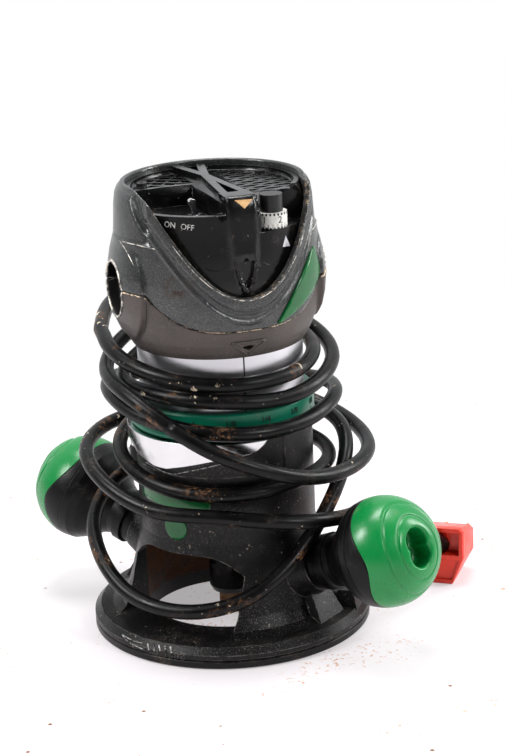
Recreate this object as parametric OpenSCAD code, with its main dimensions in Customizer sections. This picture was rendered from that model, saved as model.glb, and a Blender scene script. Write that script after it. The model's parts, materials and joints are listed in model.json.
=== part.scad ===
// Fixed-base electric wood router with its mains lead wound round it.
// Millimetres. +Z is up, the origin is on the spindle's axis at the underside of the base,
// the base's front window faces -Y and the two knobs stand along +X and -X.

/* [Base] */
// Radius of the round base plate
base_r = 76.2; // [70:0.1:80]
// Thickness of the replaceable sub-base
sub_base_t = 4; // [3:0.5:6]
// Height of the flange's upper face
flange_top = 11; // [10:0.5:13]
// Height of the top of the clamping collar
collar_top = 116; // [112:1:118]
// Outer radius of the collar
collar_r = 48; // [47.6:0.1:49]
// Height of the window's upper edge
window_top = 52; // [48:1:53]
// Half width of the window
window_half = 36; // [32:1:37]

/* [Handles] */
// Distance of each knob's centre from the axis
knob_reach = 102; // [98:1:105]
// Height of each knob's centre
knob_z = 56; // [53:1:59]
// Upward tilt of the handle axes
handle_tilt = 20; // [15:1:25]
// Largest radius of a knob
knob_r = 29.5; // [28:0.5:31]

/* [Motor] */
// Turn of the motor's front from the base's front, towards +X
motor_turn = 54; // [0:1:90]
// Radius of the aluminium motor can
can_r = 44.45; // [44:0.05:45]
// Wall of the motor can
can_wall = 2.5; // [2:0.5:3]
// Height of the can's lower end
can_bottom = 56; // [54:1:58]
// Height of the plastic housing's lower lip
lip_z = 160; // [158:1:162]
// Height of the housing's rim
rim_z = 247; // [245:1:248]

/* [Spindle] */
// Radius of the collet nut
nut_r = 12; // [11:0.5:12.5]
// Radius of the cutter's blades
cutter_r = 7; // [5:0.5:8]
// Height of the cutter's tip
cutter_tip = 0.8; // [0.5:0.1:3]

/* [Lead] */
// Diameter of the mains lead
lead_d = 8; // [7.6:0.1:8]
// Sides of the winding's tube
winding_sides = 6; // [6:1:8]

/* [Hidden] */
$fa = 4;
$fs = 1.2;
hull_fn = 32;

// colours
cast_black = [0.07, 0.07, 0.075];
gunmetal = [0.25, 0.26, 0.27];
dusty = [0.30, 0.27, 0.25];
gloss_black = [0.03, 0.03, 0.035];
rubber_black = [0.05, 0.05, 0.055];
knob_green = [0.03, 0.55, 0.27];
ring_green = [0.02, 0.33, 0.25];
steel = [0.62, 0.63, 0.65];
chrome = [0.82, 0.83, 0.85];
aluminium = [0.72, 0.73, 0.75];
copper = [0.70, 0.36, 0.18];
brass = [0.75, 0.60, 0.30];
carbon = [0.12, 0.11, 0.11];
plug_orange = [0.90, 0.20, 0.10];

// general clearances and small sizes
eps = 0.01;
run_gap = 0.3;
bearing_gap = 0.04;
press_gap = 0.02;
fit_gap = 0.1;

// shapes used by several sub-parts
module ring(r_out, r_in, h) {
    difference() {
        cylinder(r = r_out, h = h);
        translate([0, 0, -1]) cylinder(r = r_in, h = h + 2);
    }
}
// wedge of the half-angle a about the direction -Y, for cutting rings
module sector(r, a, h) {
    n = max(2, ceil(a / 20));
    rotate([0, 0, -90]) linear_extrude(h) polygon(concat([[0, 0]],
        [for (i = [-n:n]) r / cos(a / n / 2) * [cos(a * i / n), sin(a * i / n)]]));
}
// places children, made towards -Y, at an angle towards +X
module towards(angle) { rotate([0, 0, angle]) children(); }
module in_motor() { rotate([0, 0, motor_turn]) children(); }

// Base
bore_r = can_r + run_gap;
skirt_in = 45.8;
skirt_profile = [
    [skirt_in, sub_base_t], [base_r - 0.8, sub_base_t], [base_r, sub_base_t + 1], [base_r, 7.5],
    [base_r - 3.5, flange_top], [66, flange_top + 0.4], [60.5, 14], [57, 20], [54.5, 28], [51.5, 40],
    [49.2, 50], [collar_r, 58], [collar_r, collar_top - 1], [collar_r - 1, collar_top],
    [bore_r, collar_top], [bore_r, 55], [skirt_in, 54]
];
arm_base_r = 46;
arm_len = (60.5 - arm_base_r) / cos(handle_tilt);
arm_r = 14.5;
// height of a handle axis at a distance from the router's axis
function handle_axis_z(reach) = knob_z - (knob_reach - reach) * tan(handle_tilt);
clamp_angle = -68;
slit_angle = -92;
clamp_r = 50.4;
clamp_pin_r = 1.5;
eye_r = 2.7;
lug_top = 96;
ear_r = 54.5;
guard_r = 46;
table_pcd = 130;
table_angles = [15, 135, 255];
table_hole_r = 2.1;
screw_pcd = 124;
screw_angles = [75, 195, 315];

// window outline seen from the front: flat on top, falling away to the legs
window_outline = concat(
    [[-window_half, flange_top], [window_half, flange_top]],
    [for (i = [0:8]) let (x = window_half - i * 2.5) [x, window_top - 11 * pow((x - 16) / (window_half - 16), 2)]],
    [for (i = [8:-1:0]) let (x = window_half - i * 2.5) [-x, window_top - 11 * pow((x - 16) / (window_half - 16), 2)]]
);

// places children, made towards +Z from the origin, along a handle's axis; side is 1 or -1
module on_handle(side, reach) {
    mirror([side < 0 ? 1 : 0, 0, 0]) translate([reach, 0, handle_axis_z(reach)])
        rotate([0, 90 - handle_tilt, 0]) children();
}
module base_casting() color(cast_black) {
    difference() {
        union() {
            rotate_extrude() polygon(skirt_profile);
            for (side = [-1, 1]) {
                on_handle(side, arm_base_r) cylinder(r1 = arm_r + 3.5, r2 = arm_r, h = arm_len);
                mirror([side < 0 ? 1 : 0, 0, 0]) handle_web();
            }
            clamp_lugs();
            guide_boss();
            front_mark();
        }
        // bore, window and the slit that lets the collar close on the motor
        translate([0, 0, -1]) cylinder(r = skirt_in, h = 56);
        translate([0, 0, 54]) cylinder(r = bore_r, h = 80);
        translate([0, -20, 0]) rotate([90, 0, 0]) linear_extrude(70) polygon(window_outline);
        towards(slit_angle) translate([-1, -70, 78]) cube([2, 60, 60]);
        for (side = [-1, 1]) on_handle(side, arm_base_r) translate([0, 0, 4]) cylinder(r = 3.3, h = 60);
        for (a = table_angles) towards(a) translate([0, -table_pcd / 2, 0]) cylinder(r = table_hole_r, h = 9);
        for (a = screw_angles) towards(a) translate([0, -screw_pcd / 2, 0]) cylinder(r = 2.1, h = 9.5);
        towards(clamp_angle) translate([0, -clamp_r, lug_top - 8]) cylinder(r = clamp_pin_r + press_gap, h = 30);
        clamp_bolt_hole();
        // seat of the clamp lever across the collar's front
        translate([0, 0, lug_top]) difference() {
            sector(60, 78, 30);
            translate([0, 0, -1]) cylinder(r = collar_r - 0.7, h = 40);
        }
    }
}
// rib that carries the handle boss down to the flange
module handle_web() {
    difference() {
        hull() {
            translate([46, -11, flange_top - 1]) cube([21, 22, 1]);
            translate([46, -7, 30]) cube([10, 14, 1]);
        }
        translate([0, 0, -1]) cylinder(r = skirt_in, h = 60);
    }
}
// lug under the lever's eye
module clamp_lugs() {
    towards(clamp_angle) translate([0, 0, lug_top - 8]) difference() {
        union() {
            translate([0, -clamp_r, 0]) cylinder(r = 3.4, h = 8);
            translate([-3.4, -clamp_r, 0]) cube([6.8, 6, 8]);
        }
        translate([0, 0, -1]) cylinder(r = collar_r - 1.5, h = 10);
    }
    // ears either side of the slit
    towards(slit_angle) translate([0, 0, 82]) difference() {
        translate([-9, -60, 0]) cube([18, 16, 12]);
        translate([0, 0, -1]) cylinder(r = collar_r - 1.5, h = 14);
    }
}
module clamp_bolt_hole() {
    towards(slit_angle) translate([-12, -ear_r, 88]) rotate([0, 90, 0]) cylinder(r = 2.8, h = 24);
}
// small boss on the flange for a fence rod's set screw
module guide_boss() {
    translate([63, 21, flange_top - 1]) rotate([0, 0, 20]) hull() {
        translate([-7, -8, 0]) cube([14, 16, 1]);
        translate([-4, -5, 9]) cube([8, 10, 1]);
    }
}
// arrow and four bars raised on the flange's rim, which show the feed direction
mark_r = base_r - 0.6;
module front_mark() {
    intersection() {
        translate([0, 0, 4.8]) cylinder(r = base_r + 0.5, h = 3.4);
        union() {
            for (i = [0:3]) towards(8 + i * 2.6) translate([-0.8, -mark_r - 2, 4]) cube([1.6, 4, 5]);
            towards(1.5) translate([0, -mark_r - 2, 6.5]) rotate([-90, 0, 0]) linear_extrude(4)
                polygon([[-6, 0], [-1, -2.2], [-1, -1], [4, -1], [4, 1], [-1, 1], [-1, 2.2]]);
        }
    }
}
module sub_base() color([0.13, 0.13, 0.13]) {
    difference() {
        rotate_extrude() polygon([
            [guard_r, 0], [base_r - 0.6, 0], [base_r, 0.6], [base_r, sub_base_t - 0.4],
            [base_r - 0.4, sub_base_t], [guard_r, sub_base_t]
        ]);
        for (a = table_angles) towards(a) translate([0, -table_pcd / 2, -1]) cylinder(r = 2.75, h = 9);
        for (a = screw_angles) towards(a) translate([0, -screw_pcd / 2, 0]) {
            translate([0, 0, -1]) cylinder(r = 2.3, h = 9);
            translate([0, 0, -1]) cylinder(r = 4.9, h = 3.4);
        }
    }
}
module sub_base_screws() color(steel) {
    for (a = screw_angles) towards(a) translate([0, -screw_pcd / 2, 0.6]) difference() {
        union() {
            cylinder(r = 4.6, h = 1.8 - eps);
            cylinder(r = 2.05, h = 8.8);
        }
        translate([-0.5, -5, -1]) cube([1, 10, 1.9]);
        translate([-5, -0.5, -1]) cube([10, 1, 1.9]);
    }
}
module clamp_bolt() color(steel) {
    towards(slit_angle) translate([-9, -ear_r, 88]) rotate([0, 90, 0]) {
        cylinder(r = 2.6, h = 18);
        translate([0, 0, -3.4]) cylinder(r = 4.4, h = 3.4);
        translate([0, 0, 18]) cylinder(r = 4.6, h = 4, $fn = 6);
    }
}
module clamp_lever_pin() color(steel) {
    towards(clamp_angle) translate([0, -clamp_r, lug_top - 8]) cylinder(r = clamp_pin_r, h = lever_top - lug_top + 8);
}

// Handles
grip_start = 60.8;
// radius of the black grip along the handle's axis
cap_back = 38.2;
grip_profile = [
    [13.2, 0], [13.4, 5], [15.2, 5.6], [15.4, 11], [14.2, 11.5], [14.4, 15], [16.5, 19.5],
    [20.5, 24.5], [25, 29.5], [28, 34], [29, cap_back]
];
// the green cap is a ball, turned a little towards the user, with a flat end round its recess
cap_seat = 3;
cap_mid = 43.7;
cap_depth = 28;
cap_flat = 26;
cap_turn = 12;
cap_steps = 12;
cap_arc = asin(cap_flat / cap_depth);
cap_low_z = -cap_depth * sin(cap_arc / 3);
recess_depth = 13;
recess_r = 6.9;
recess_lip = 1.5;
lobe_reach = 3.6;
stud_r = 3;
stud_bore_r = 3.3;
head_r = 5.3;
head_h = 4;
// places children at the ball's centre, along the cap's own axis
module on_cap(side) on_handle(side, grip_start) translate([0, 0, cap_mid]) rotate([cap_turn, 0, 0]) children();
module handle_grip(side) color(rubber_black) on_handle(side, grip_start) difference() {
    rotate_extrude() polygon(concat([[0, 0]], grip_profile,
        [[27.6, cap_back], [25.4, cap_back - cap_seat], [0, cap_back - cap_seat]]));
    translate([0, 0, -1]) cylinder(r = stud_bore_r, h = 60);
}
module handle_cap(side) color(knob_green) difference() {
    union() {
        on_handle(side, grip_start) rotate_extrude() polygon([
            [0, cap_back - cap_seat + eps], [25.3, cap_back - cap_seat + eps], [27.5, cap_back + 2 * eps],
            [27.5, cap_mid], [0, cap_mid]
        ]);
        intersection() {
            on_cap(side) rotate_extrude() polygon(concat([[0, cap_low_z]],
                [for (i = [-cap_steps / 3:cap_steps]) let (a = cap_arc * i / cap_steps)
                    [knob_r * cos(a), cap_depth * sin(a)]],
                [[0, cap_flat]]));
            on_handle(side, grip_start) translate([0, 0, cap_back + eps]) cylinder(r = 40, h = 60);
        }
    }
    // peanut-shaped recess with a flared lip
    on_cap(side) for (s = [-1, 1]) translate([s * lobe_reach, 0, 0]) {
        translate([0, 0, cap_flat - recess_depth]) cylinder(r = recess_r, h = 20);
        translate([0, 0, cap_flat - recess_lip]) cylinder(r1 = recess_r, r2 = recess_r + 2 * recess_lip, h = 2 * recess_lip);
    }
    // pocket over the stud's head
    on_handle(side, grip_start) translate([0, 0, cap_back - cap_seat - 1]) cylinder(r = head_r + 0.3, h = head_h + 1.5);
}
// bolt that holds the grip to the base, its head covered by the cap
module handle_bolt(side) color(steel) on_handle(side, grip_start) {
    translate([0, 0, cap_back - cap_seat]) cylinder(r = head_r, h = head_h, $fn = 6);
    translate([0, 0, -7]) cylinder(r = stud_r, h = cap_back - cap_seat + 7 + eps);
}
module handle_grip_left() handle_grip(-1);
module handle_grip_right() handle_grip(1);
module handle_cap_left() handle_cap(-1);
module handle_cap_right() handle_cap(1);
module handle_bolt_left() handle_bolt(-1);
module handle_bolt_right() handle_bolt(1);

// Depth ring and clamp lever
ring_r = 49.7;
ring_z = [collar_top + 0.3, 131];
module depth_ring() color(ring_green) {
    rotate_extrude() polygon([
        [can_r + run_gap, ring_z[0]], [ring_r - 0.5, ring_z[0]], [ring_r + 0.1, ring_z[0] + 0.8],
        [ring_r + 0.1, ring_z[0] + 2.2], [ring_r - 0.3, ring_z[0] + 3], [ring_r - 0.3, ring_z[1] - 1],
        [ring_r - 1.2, ring_z[1]], [can_r + run_gap, ring_z[1]]
    ]);
}
lever_in = 48.3;
lever_out = 52.2;
lever_span = 62;
// the lever is a crescent: deep in the middle of the collar's front, narrow at its free tip
lever_steps = 20;
lever_edge = [[-75, 109], [-37, 109], [-24.5, 103.7], [-9, 100.6], [0, 100.6], [14, 103.6], [27, 106.4],
    [54, 109.8], [58.5, 112.5], [62, 115.6]];
function lever_low(a) = lookup(a, lever_edge);
lever_top = collar_top - 0.3;
module clamp_lever() color(chrome) {
    difference() {
        union() {
            intersection() {
                ring_band(lever_in, lever_out, 92, 122);
                // front outline swept straight back along Y, cut from the band
                rotate([90, 0, 0]) linear_extrude(60) polygon(concat(
                    [[-60, lever_low(-lever_span)]],
                    [for (i = [-lever_steps:lever_steps]) let (a = i * lever_span / lever_steps)
                        [sin(a) * lever_out, lever_low(a)]],
                    [[sin(lever_span) * lever_out, lever_top], [-60, lever_top]]
                ));
                // the band starts at its eye
                union() {
                    towards(clamp_angle) translate([0, -60, 90]) cube([20, 20, 40]);
                    sector(80, lever_span, 140);
                }
            }
            lever_hub();
        }
        towards(clamp_angle) translate([0, -clamp_r, 80]) cylinder(r = clamp_pin_r + 0.05, h = 60);
    }
}
module ring_band(r_in, r_out, z0, z1) translate([0, 0, z0]) ring(r_out, r_in, z1 - z0);
// eye that turns on the pin over the lug
module lever_hub() {
    towards(clamp_angle) translate([0, 0, lug_top + 0.3]) difference() {
        union() {
            translate([0, -clamp_r, 0]) cylinder(r = eye_r, h = lever_top - lug_top - 0.3);
            translate([0, -clamp_r - eye_r + 1, 12.4]) cube([5, 2 * eye_r - 1.2, lever_top - lug_top - 12.7]);
        }
        translate([0, 0, -1]) cylinder(r = collar_r - 0.7 + run_gap, h = 30);
    }
}

// Motor body
can_in = can_r - can_wall;
can_top = 172;
pin_r = 2.4;
// places children, made outwards along +Z, at the four guide pins near the can's lower end
module at_guide_pins() in_motor() for (a = [45, 135, 225, 315]) towards(a)
    translate([0, 0, can_bottom + 6]) rotate([90, 0, 0]) children();
module motor_can() color(aluminium) difference() {
    translate([0, 0, can_bottom]) ring(can_r, can_in, can_top - can_bottom);
    at_guide_pins() translate([0, 0, can_in - 2]) cylinder(r = pin_r + press_gap, h = 6);
}
// four pins that run in the base's spiral grooves on the real tool stand on the can's lower end
module guide_pins() color(steel) at_guide_pins() translate([0, 0, can_in - 0.2])
    cylinder(r = pin_r, h = can_wall - 0.6);
bell_r = can_in;
nose_r = 21;
lower_seat_r = 17.5;
lower_bore = 8.5;
module nose_bell() color(aluminium) difference() {
    in_motor() union() {
        translate([0, 0, 56.5]) cylinder(r = bell_r, h = 5.5);
        translate([0, 0, 52]) cylinder(r1 = nose_r - 2, r2 = nose_r, h = 2);
        translate([0, 0, 54]) cylinder(r = nose_r, h = 15);
        for (a = [22.5:45:359]) towards(a) translate([-1.6, -40, 61]) cube([3.2, 20, 6]);
    }
    translate([0, 0, 57]) cylinder(r = lower_seat_r, h = 20);
    translate([0, 0, 50]) cylinder(r = 11.5, h = 20);
    in_motor() for (a = [0:45:359]) towards(a) translate([0, -31, 50]) cylinder(r = 6.2, h = 20);
    at_guide_pins() translate([0, 0, can_in - 1]) cylinder(r = pin_r + 0.6, h = 4);
}
module bearing(r_out, r_in, h) {
    ring(r_out, r_out - 3, h);
    ring(r_in + 2.6, r_in, h);
    translate([0, 0, 1]) ring(r_out - 3 - eps, r_in + 2.6 + eps, h - 2);
}
module lower_bearing() color(steel) translate([0, 0, 57]) bearing(lower_seat_r, lower_bore + bearing_gap, 11);
upper_seat_r = 11;
upper_bore = 4;
module upper_bearing() color(steel) translate([0, 0, 206]) bearing(upper_seat_r, upper_bore + bearing_gap, 7);

core_z = [94, 146];
pole_in = 24.8;
core_in = 33.5;
pole_half = 48;
module pole_pair(r, a, h) for (t = [0, 180]) towards(t) sector(r, a, h);
module field_core() color([0.35, 0.36, 0.38]) in_motor() translate([0, 0, core_z[0]]) difference() {
    cylinder(r = can_in, h = core_z[1] - core_z[0]);
    translate([0, 0, -1]) cylinder(r = pole_in, h = 90);
    translate([0, 0, -1]) difference() {
        cylinder(r = core_in, h = 90);
        translate([0, 0, -1]) pole_pair(60, pole_half, 92);
    }
}
coil_end = 9;
module field_coils() color(copper) in_motor() difference() {
    translate([0, 0, core_z[0] - coil_end]) intersection() {
        ring(core_in - 0.5, pole_in + 2, core_z[1] - core_z[0] + 2 * coil_end);
        pole_pair(60, 82, 90);
    }
    translate([0, 0, core_z[0] - 0.3]) pole_pair(60, pole_half + 1.5, core_z[1] - core_z[0] + 0.6);
}
brush_z = 193;
tower_r = 22;
module brush_frame() color([0.1, 0.1, 0.1]) in_motor() difference() {
    union() {
        translate([0, 0, can_top]) cylinder(r = 43.5, h = 3);
        translate([0, 0, can_top]) cylinder(r = tower_r, h = 43);
    }
    translate([0, 0, can_top - 1]) cylinder(r = 18.5, h = 32);
    translate([0, 0, 206]) cylinder(r = upper_seat_r, h = 12);
    translate([0, 0, 190]) cylinder(r = 8, h = 20);
    for (s = [0, 180]) rotate([0, 0, s]) translate([10, -5.2, brush_z - 6.2]) cube([20, 10.4, 12.4]);
    for (a = [0, 90, 180, 270]) rotate([0, 0, a]) translate([33, 0, can_top - 1]) cylinder(r = 7, h = 5);
}
module brush_holder(side) color(brass) in_motor() rotate([0, 0, side > 0 ? 0 : 180]) difference() {
    translate([17, -5, brush_z - 6]) cube([26, 10, 12]);
    translate([10, -4, brush_z - 5]) cube([40, 8, 10]);
}
module carbon_brush(side) color(carbon) in_motor() rotate([0, 0, side > 0 ? 0 : 180]) difference() {
    translate([14.7, -3.9, brush_z - 4.9]) cube([14, 7.8, 9.8]);
    translate([0, 0, brush_z - 10]) cylinder(r = 15.3, h = 20);
}
module brush_spring(side) color(steel) in_motor() rotate([0, 0, side > 0 ? 0 : 180])
    translate([28.8, 0, brush_z]) rotate([0, 90, 0]) ring(3, 2.3, 14);
brush_cap_x = 43.2;
module brush_cap(side) color([0.06, 0.06, 0.06]) in_motor() rotate([0, 0, side > 0 ? 0 : 180]) difference() {
    translate([brush_cap_x, 0, brush_z]) rotate([0, 90, 0]) cylinder(r = 8.5, h = 5.5);
    translate([brush_cap_x + 3.5, -1, brush_z - 8]) cube([3, 2, 16]);
}
module brush_holder_left() brush_holder(-1);
module brush_holder_right() brush_holder(1);
module carbon_brush_left() carbon_brush(-1);
module carbon_brush_right() carbon_brush(1);
module brush_spring_left() brush_spring(-1);
module brush_spring_right() brush_spring(1);
module brush_cap_left() brush_cap(-1);
module brush_cap_right() brush_cap(1);

// Moulded motor housing
housing_wall = 3;
// radius and height up the body, and up the pods over the brushes
body_profile = [
    [46, lip_z], [48.2, 163.5], [50.4, 168], [52.3, 174], [53.6, 181], [54.5, 190], [54.7, 200],
    [54, 212], [52.9, 225], [52.2, 236], [51.4, 241.5], [50, 244.4], [48.6, 245.4], [48.4, rim_z - 0.6], [47.8, rim_z]
];
pod_profile = [
    [49, 165], [52.6, 169.5], [55.8, 177], [57.4, 184], [58.2, 194], [57.6, 202], [55.6, 212], [53.6, 219], [50, 226]
];
pod_r = 30;
pod_z = 195;
port_r = 14.2;
top_in_r = 45.6;
seam_gap = 0.25;
body_steps = 5;
// height of the seam between the two shells, and of the front opening, across the motor's front
function seam_height(x) = 176 + 19 * min(1, pow(abs(x) / 48, 4));
function opening_height(x) = 193.5 + 0.0255 * x * x;
// lower edge of the collar, which widens towards the bottom of the V
function collar_height(x) = 178.5 + 0.0228 * x * x;
collar_rise = 1.9;
collar_ridge = 7;
opening_x = 47;
collar_x = 44.6;

module body_solid(grow = 0) rotate_extrude() polygon(concat(
    [[0, lip_z]], [for (p = body_profile) [p.x + grow, p.y]], [[0, rim_z]]));
module pod_solid() intersection() {
    rotate_extrude() polygon(concat([[0, 165]], pod_profile, [[0, 226]]));
    for (s = [0, 180]) rotate([0, 0, s]) translate([20, 0, pod_z]) rotate([0, 90, 0]) cylinder(r = pod_r, h = 60);
}
// everything over the seam line, right through from front to back
module over_seam(gap) translate([0, 80, 0]) rotate([90, 0, 0]) linear_extrude(160) polygon(concat(
    [[-80, 260], [-80, seam_height(80) + gap]],
    [for (i = [-8:8]) let (x = i * 6) [x, seam_height(x) + gap]],
    [[80, seam_height(80) + gap], [80, 260]]));
// everything above the collar's lower edge, moved up by the given amount
module collar_v(up) translate([0, -8, 0]) rotate([90, 0, 0]) linear_extrude(90) polygon(concat(
    [for (i = [-body_steps * 2:body_steps * 2]) let (x = collar_x * i / body_steps / 2) [x, collar_height(x) + up]],
    [[collar_x, 260], [-collar_x, 260]]));
// the V of the front opening, with a drop for its outer edge
module opening_v(drop, half, y_back) translate([0, y_back, 0]) rotate([90, 0, 0]) linear_extrude(90) polygon(concat(
    [for (i = [-body_steps * 2:body_steps * 2]) let (x = half * i / body_steps / 2) [x, opening_height(x) - drop]],
    [[half, 260], [-half, 260]]));
module housing_cavity() {
    rotate_extrude() polygon(concat(
        [[0, lip_z - 1], [can_r + fit_gap, lip_z - 1], [can_r + fit_gap, 168]],
        [for (p = body_profile) if (p.y > 170 && p.y < 240) [p.x - housing_wall, p.y]],
        [[top_in_r, 243], [top_in_r, rim_z + 1], [0, rim_z + 1]]));
}
module brush_ports() {
    for (s = [0, 180]) rotate([0, 0, s]) translate([30, 0, brush_z]) rotate([0, 90, 0]) {
        cylinder(r = 9, h = 40);
        translate([0, 0, 19.5]) cylinder(r = port_r, h = 20);
    }
}
// walls round the brush caps
module port_walls() for (s = [0, 180]) rotate([0, 0, s]) translate([43.6, 0, brush_z]) rotate([0, 90, 0])
    cylinder(r = port_r + 2, h = 10.6);
module housing_shell() difference() {
    union() {
        body_solid();
        pod_solid();
        port_walls();
    }
    difference() {
        housing_cavity();
        port_walls();
    }
    brush_ports();
}
// panels that stand a little proud on both sides of the collar, up to a crease
crease_z = 220.7;
panel_rise = 0.7;
panel_z = 174;
module side_panels() difference() {
    intersection() {
        body_solid(panel_rise);
        translate([-70, -70, panel_z]) cube([140, 76, crease_z - panel_z]);
    }
    collar_v(-1);
    body_solid(-1);
    brush_ports();
}
module housing_lower() color(dusty) in_motor() {
    difference() {
        union() {
            housing_shell();
            // down-pointing index triangle
            difference() {
                intersection() {
                    body_solid(0.7);
                    index_triangle(0);
                }
                body_solid(-1);
            }
        }
        over_seam(0);
        index_triangle(1.6);
    }
}
module index_triangle(inset) translate([0, -40, 0]) rotate([90, 0, 0]) linear_extrude(20)
    polygon([[-8 + inset * 1.6, 169 - inset], [8 - inset * 1.6, 169 - inset], [0, 162.3 + inset * 1.7]]);
module housing_upper() color(gunmetal) in_motor() difference() {
    union() {
        intersection() {
            union() {
                housing_shell();
                side_panels();
            }
            over_seam(seam_gap);
        }
        collar();
        snout();
    }
    opening_v(0, opening_x, -4);
    for (side = [-1, 1]) scoop(side);
    snout_bore();
}
// raised V collar that frames the black cover: its full height stands round the opening, and two steps
// lead down from its ridge to the panels
collar_steps = 3;
module collar() difference() {
    intersection() {
        union() {
            for (k = [1:collar_steps]) intersection() {
                body_solid(collar_rise * k / collar_steps);
                collar_v(collar_ridge * (k - 1) / collar_steps);
            }
        }
        translate([0, 0, 170]) cylinder(r = 70, h = 244.6 - 170);
    }
    body_solid(-1);
}
// hollow between the collar's arm and the shoulder, deep at the rim and running out at the crease
scoop_top = [-53.5, -17, 250];
scoop_end = [-43.4, -31.4, 219];
scoop_r = 7.6;
module scoop(side) mirror([side > 0 ? 1 : 0, 0, 0]) {
    d = scoop_end - scoop_top;
    along(scoop_top, d / norm(d)) cylinder(r1 = scoop_r, r2 = 0.3, h = norm(d));
}
pad_angles = [120, 240];
pad_reach = 38;
module housing_screws() color(steel) in_motor() for (a = pad_angles) towards(a)
    translate([0, -pad_reach, plate_z[1]]) difference() {
        union() {
            cylinder(r = 2.8, h = 1.8);
            translate([0, 0, -12]) cylinder(r = 1.6, h = 13);
        }
        for (t = [0, 90]) rotate([0, 0, t]) translate([-0.4, -2, 0.9]) cube([0.8, 4, 2]);
    }

// Black cover with grille, ribs and keel
cover_gap = 0.25;
plate_z = [238.5, 241.5];
rib_top = 245.3;
left_pocket = [[-60, -70, 231], [-8.5, 8, 260]];
right_pocket = [[10, -70, 225.5], [60, -26, 260]];
lip_top = 236;
lip_r = 45.6;
pocket_wall = 2;
module pocket(p, grow) translate([p[0].x - grow, p[0].y - grow, p[0].z - grow])
    cube([p[1].x - p[0].x + 2 * grow, p[1].y - p[0].y + 2 * grow, p[1].z - p[0].z + grow]);
module cover_body() intersection() {
    rotate_extrude() polygon(concat(
        [[0, 188]],
        [for (p = body_profile) if (p.y > 187 && p.y < 240) [p.x - housing_wall - cover_gap, p.y]],
        [[top_in_r - cover_gap, 243], [top_in_r - cover_gap, plate_z[1] + 2.5], [0, plate_z[1] + 2.5]]));
    union() {
        translate([0, 0, 234]) cylinder(r = 70, h = 30);
        opening_v(4, 49, -6);
        pocket(left_pocket, pocket_wall);
        pocket(right_pocket, pocket_wall);
    }
}
// the switch pocket keeps a low lip along its front
module switch_pocket() intersection() {
    pocket(left_pocket, 0);
    union() {
        translate([0, 0, lip_top]) cylinder(r = 90, h = 40);
        translate([0, 0, 220]) cylinder(r = lip_r, h = 40);
    }
}
module cover_cavity() difference() {
    rotate_extrude() polygon(concat(
        [[0, 180]],
        [for (p = body_profile) if (p.y > 187 && p.y < 235) [p.x - 2 * housing_wall, p.y]],
        [[43, plate_z[0]], [0, plate_z[0]]]));
    pocket(left_pocket, pocket_wall);
    pocket(right_pocket, pocket_wall);
}
slot_w = 3.4;
slot_pitch = 5.2;
module grille_slots() {
    intersection() {
        difference() {
            translate([0, 0, 230]) cylinder(r = 41.5, h = 20);
            for (a = pad_angles) towards(a) translate([0, -pad_reach, 229]) cylinder(r = 4.2, h = 22);
        }
        union() {
            // left field, behind the switch pocket
            for (i = [0:5]) translate([-44, 12.5 + i * slot_pitch, 230]) cube([37.5, slot_w, 20]);
            // right field, behind the dial pocket
            for (i = [0:11]) translate([12, -22 + i * slot_pitch, 230]) cube([34, slot_w, 20]);
        }
    }
    // eye between the two front ribs
    translate([0, 0, 230]) linear_extrude(20) polygon([[0, 6], [-4.6, -34], [4.6, -34]]);
}
module bar(p, q, w, z0, z1) {
    d = q - p;
    translate([p.x, p.y, z0]) rotate([0, 0, atan2(d.y, d.x)]) translate([0, -w / 2, 0]) cube([norm(d), w, z1 - z0]);
}
keel_outline = [[-8, rib_top], [8, rib_top], [7.6, 226], [6.4, 212], [4.2, 202], [1.6, 196.2], [0, 195],
    [-1.6, 196.2], [-4.2, 202], [-6.4, 212], [-7.6, 226]];
keel_cut = [[-4.2, 212.5], [4.2, 212.5], [3.4, 206], [1.4, 199.5], [0, 198.2], [-1.4, 199.5], [-3.4, 206]];
module inner_cover() color(gloss_black) in_motor() difference() {
    union() {
        difference() {
            cover_body();
            cover_cavity();
            translate([0, 0, plate_z[1]]) cylinder(r = 42.8, h = 10);
            switch_pocket();
            pocket(right_pocket, 0);
            grille_slots();
        }
        // cross bars of the grille lie lower than its long bars
        intersection() {
            translate([0, 0, plate_z[0]]) cylinder(r = 42, h = 1.4);
            union() {
                for (x = [-37:6:-9]) translate([x, 9, plate_z[0]]) cube([1.4, 34, 1.4]);
                for (x = [16:6:40]) translate([x, -25, plate_z[0]]) cube([1.4, 66, 1.4]);
            }
        }
        // forked rib from the rear rim over the hub to the keel
        intersection() {
            translate([0, 0, 230]) cylinder(r = top_in_r - cover_gap, h = 20);
            union() {
                bar([-7.5, 46], [0, 12], 4.4, plate_z[0], rib_top);
                bar([7.5, 46], [0, 12], 4.4, plate_z[0], rib_top);
                bar([0, 14], [-6, -45], 4, plate_z[0], rib_top);
                bar([0, 14], [6, -45], 4, plate_z[0], rib_top);
                translate([0, 12, plate_z[0]]) cylinder(r = 5, h = rib_top - plate_z[0]);
            }
        }
        // keel down the middle of the front
        intersection() {
            body_solid(-1.2);
            translate([0, -36, 0]) rotate([90, 0, 0]) linear_extrude(30) polygon(keel_outline);
        }
    }
    translate([0, -50.6, 0]) rotate([90, 0, 0]) linear_extrude(20) polygon(keel_cut);
    translate([toggle_pos.x, toggle_pos.y, 226]) translate([-4, -3, 0]) cube([8, 6, 20]);
    translate([dial_pos.x, dial_pos.y, 220]) cylinder(r = 2.2, h = 10);
    for (a = pad_angles) towards(a) translate([0, -pad_reach, 229]) cylinder(r = 1.6, h = 14);
}
toggle_pos = [-14.5, -17, 229];
dial_pos = [19, -39];
module switch_body() color([0.09, 0.09, 0.09]) in_motor() translate([toggle_pos.x, toggle_pos.y, 0]) difference() {
    translate([-9, -6, 216]) cube([18, 12, 12.6]);
    translate([-3.2, -2.6, 222]) cube([6.4, 5.2, 8]);
}
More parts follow.
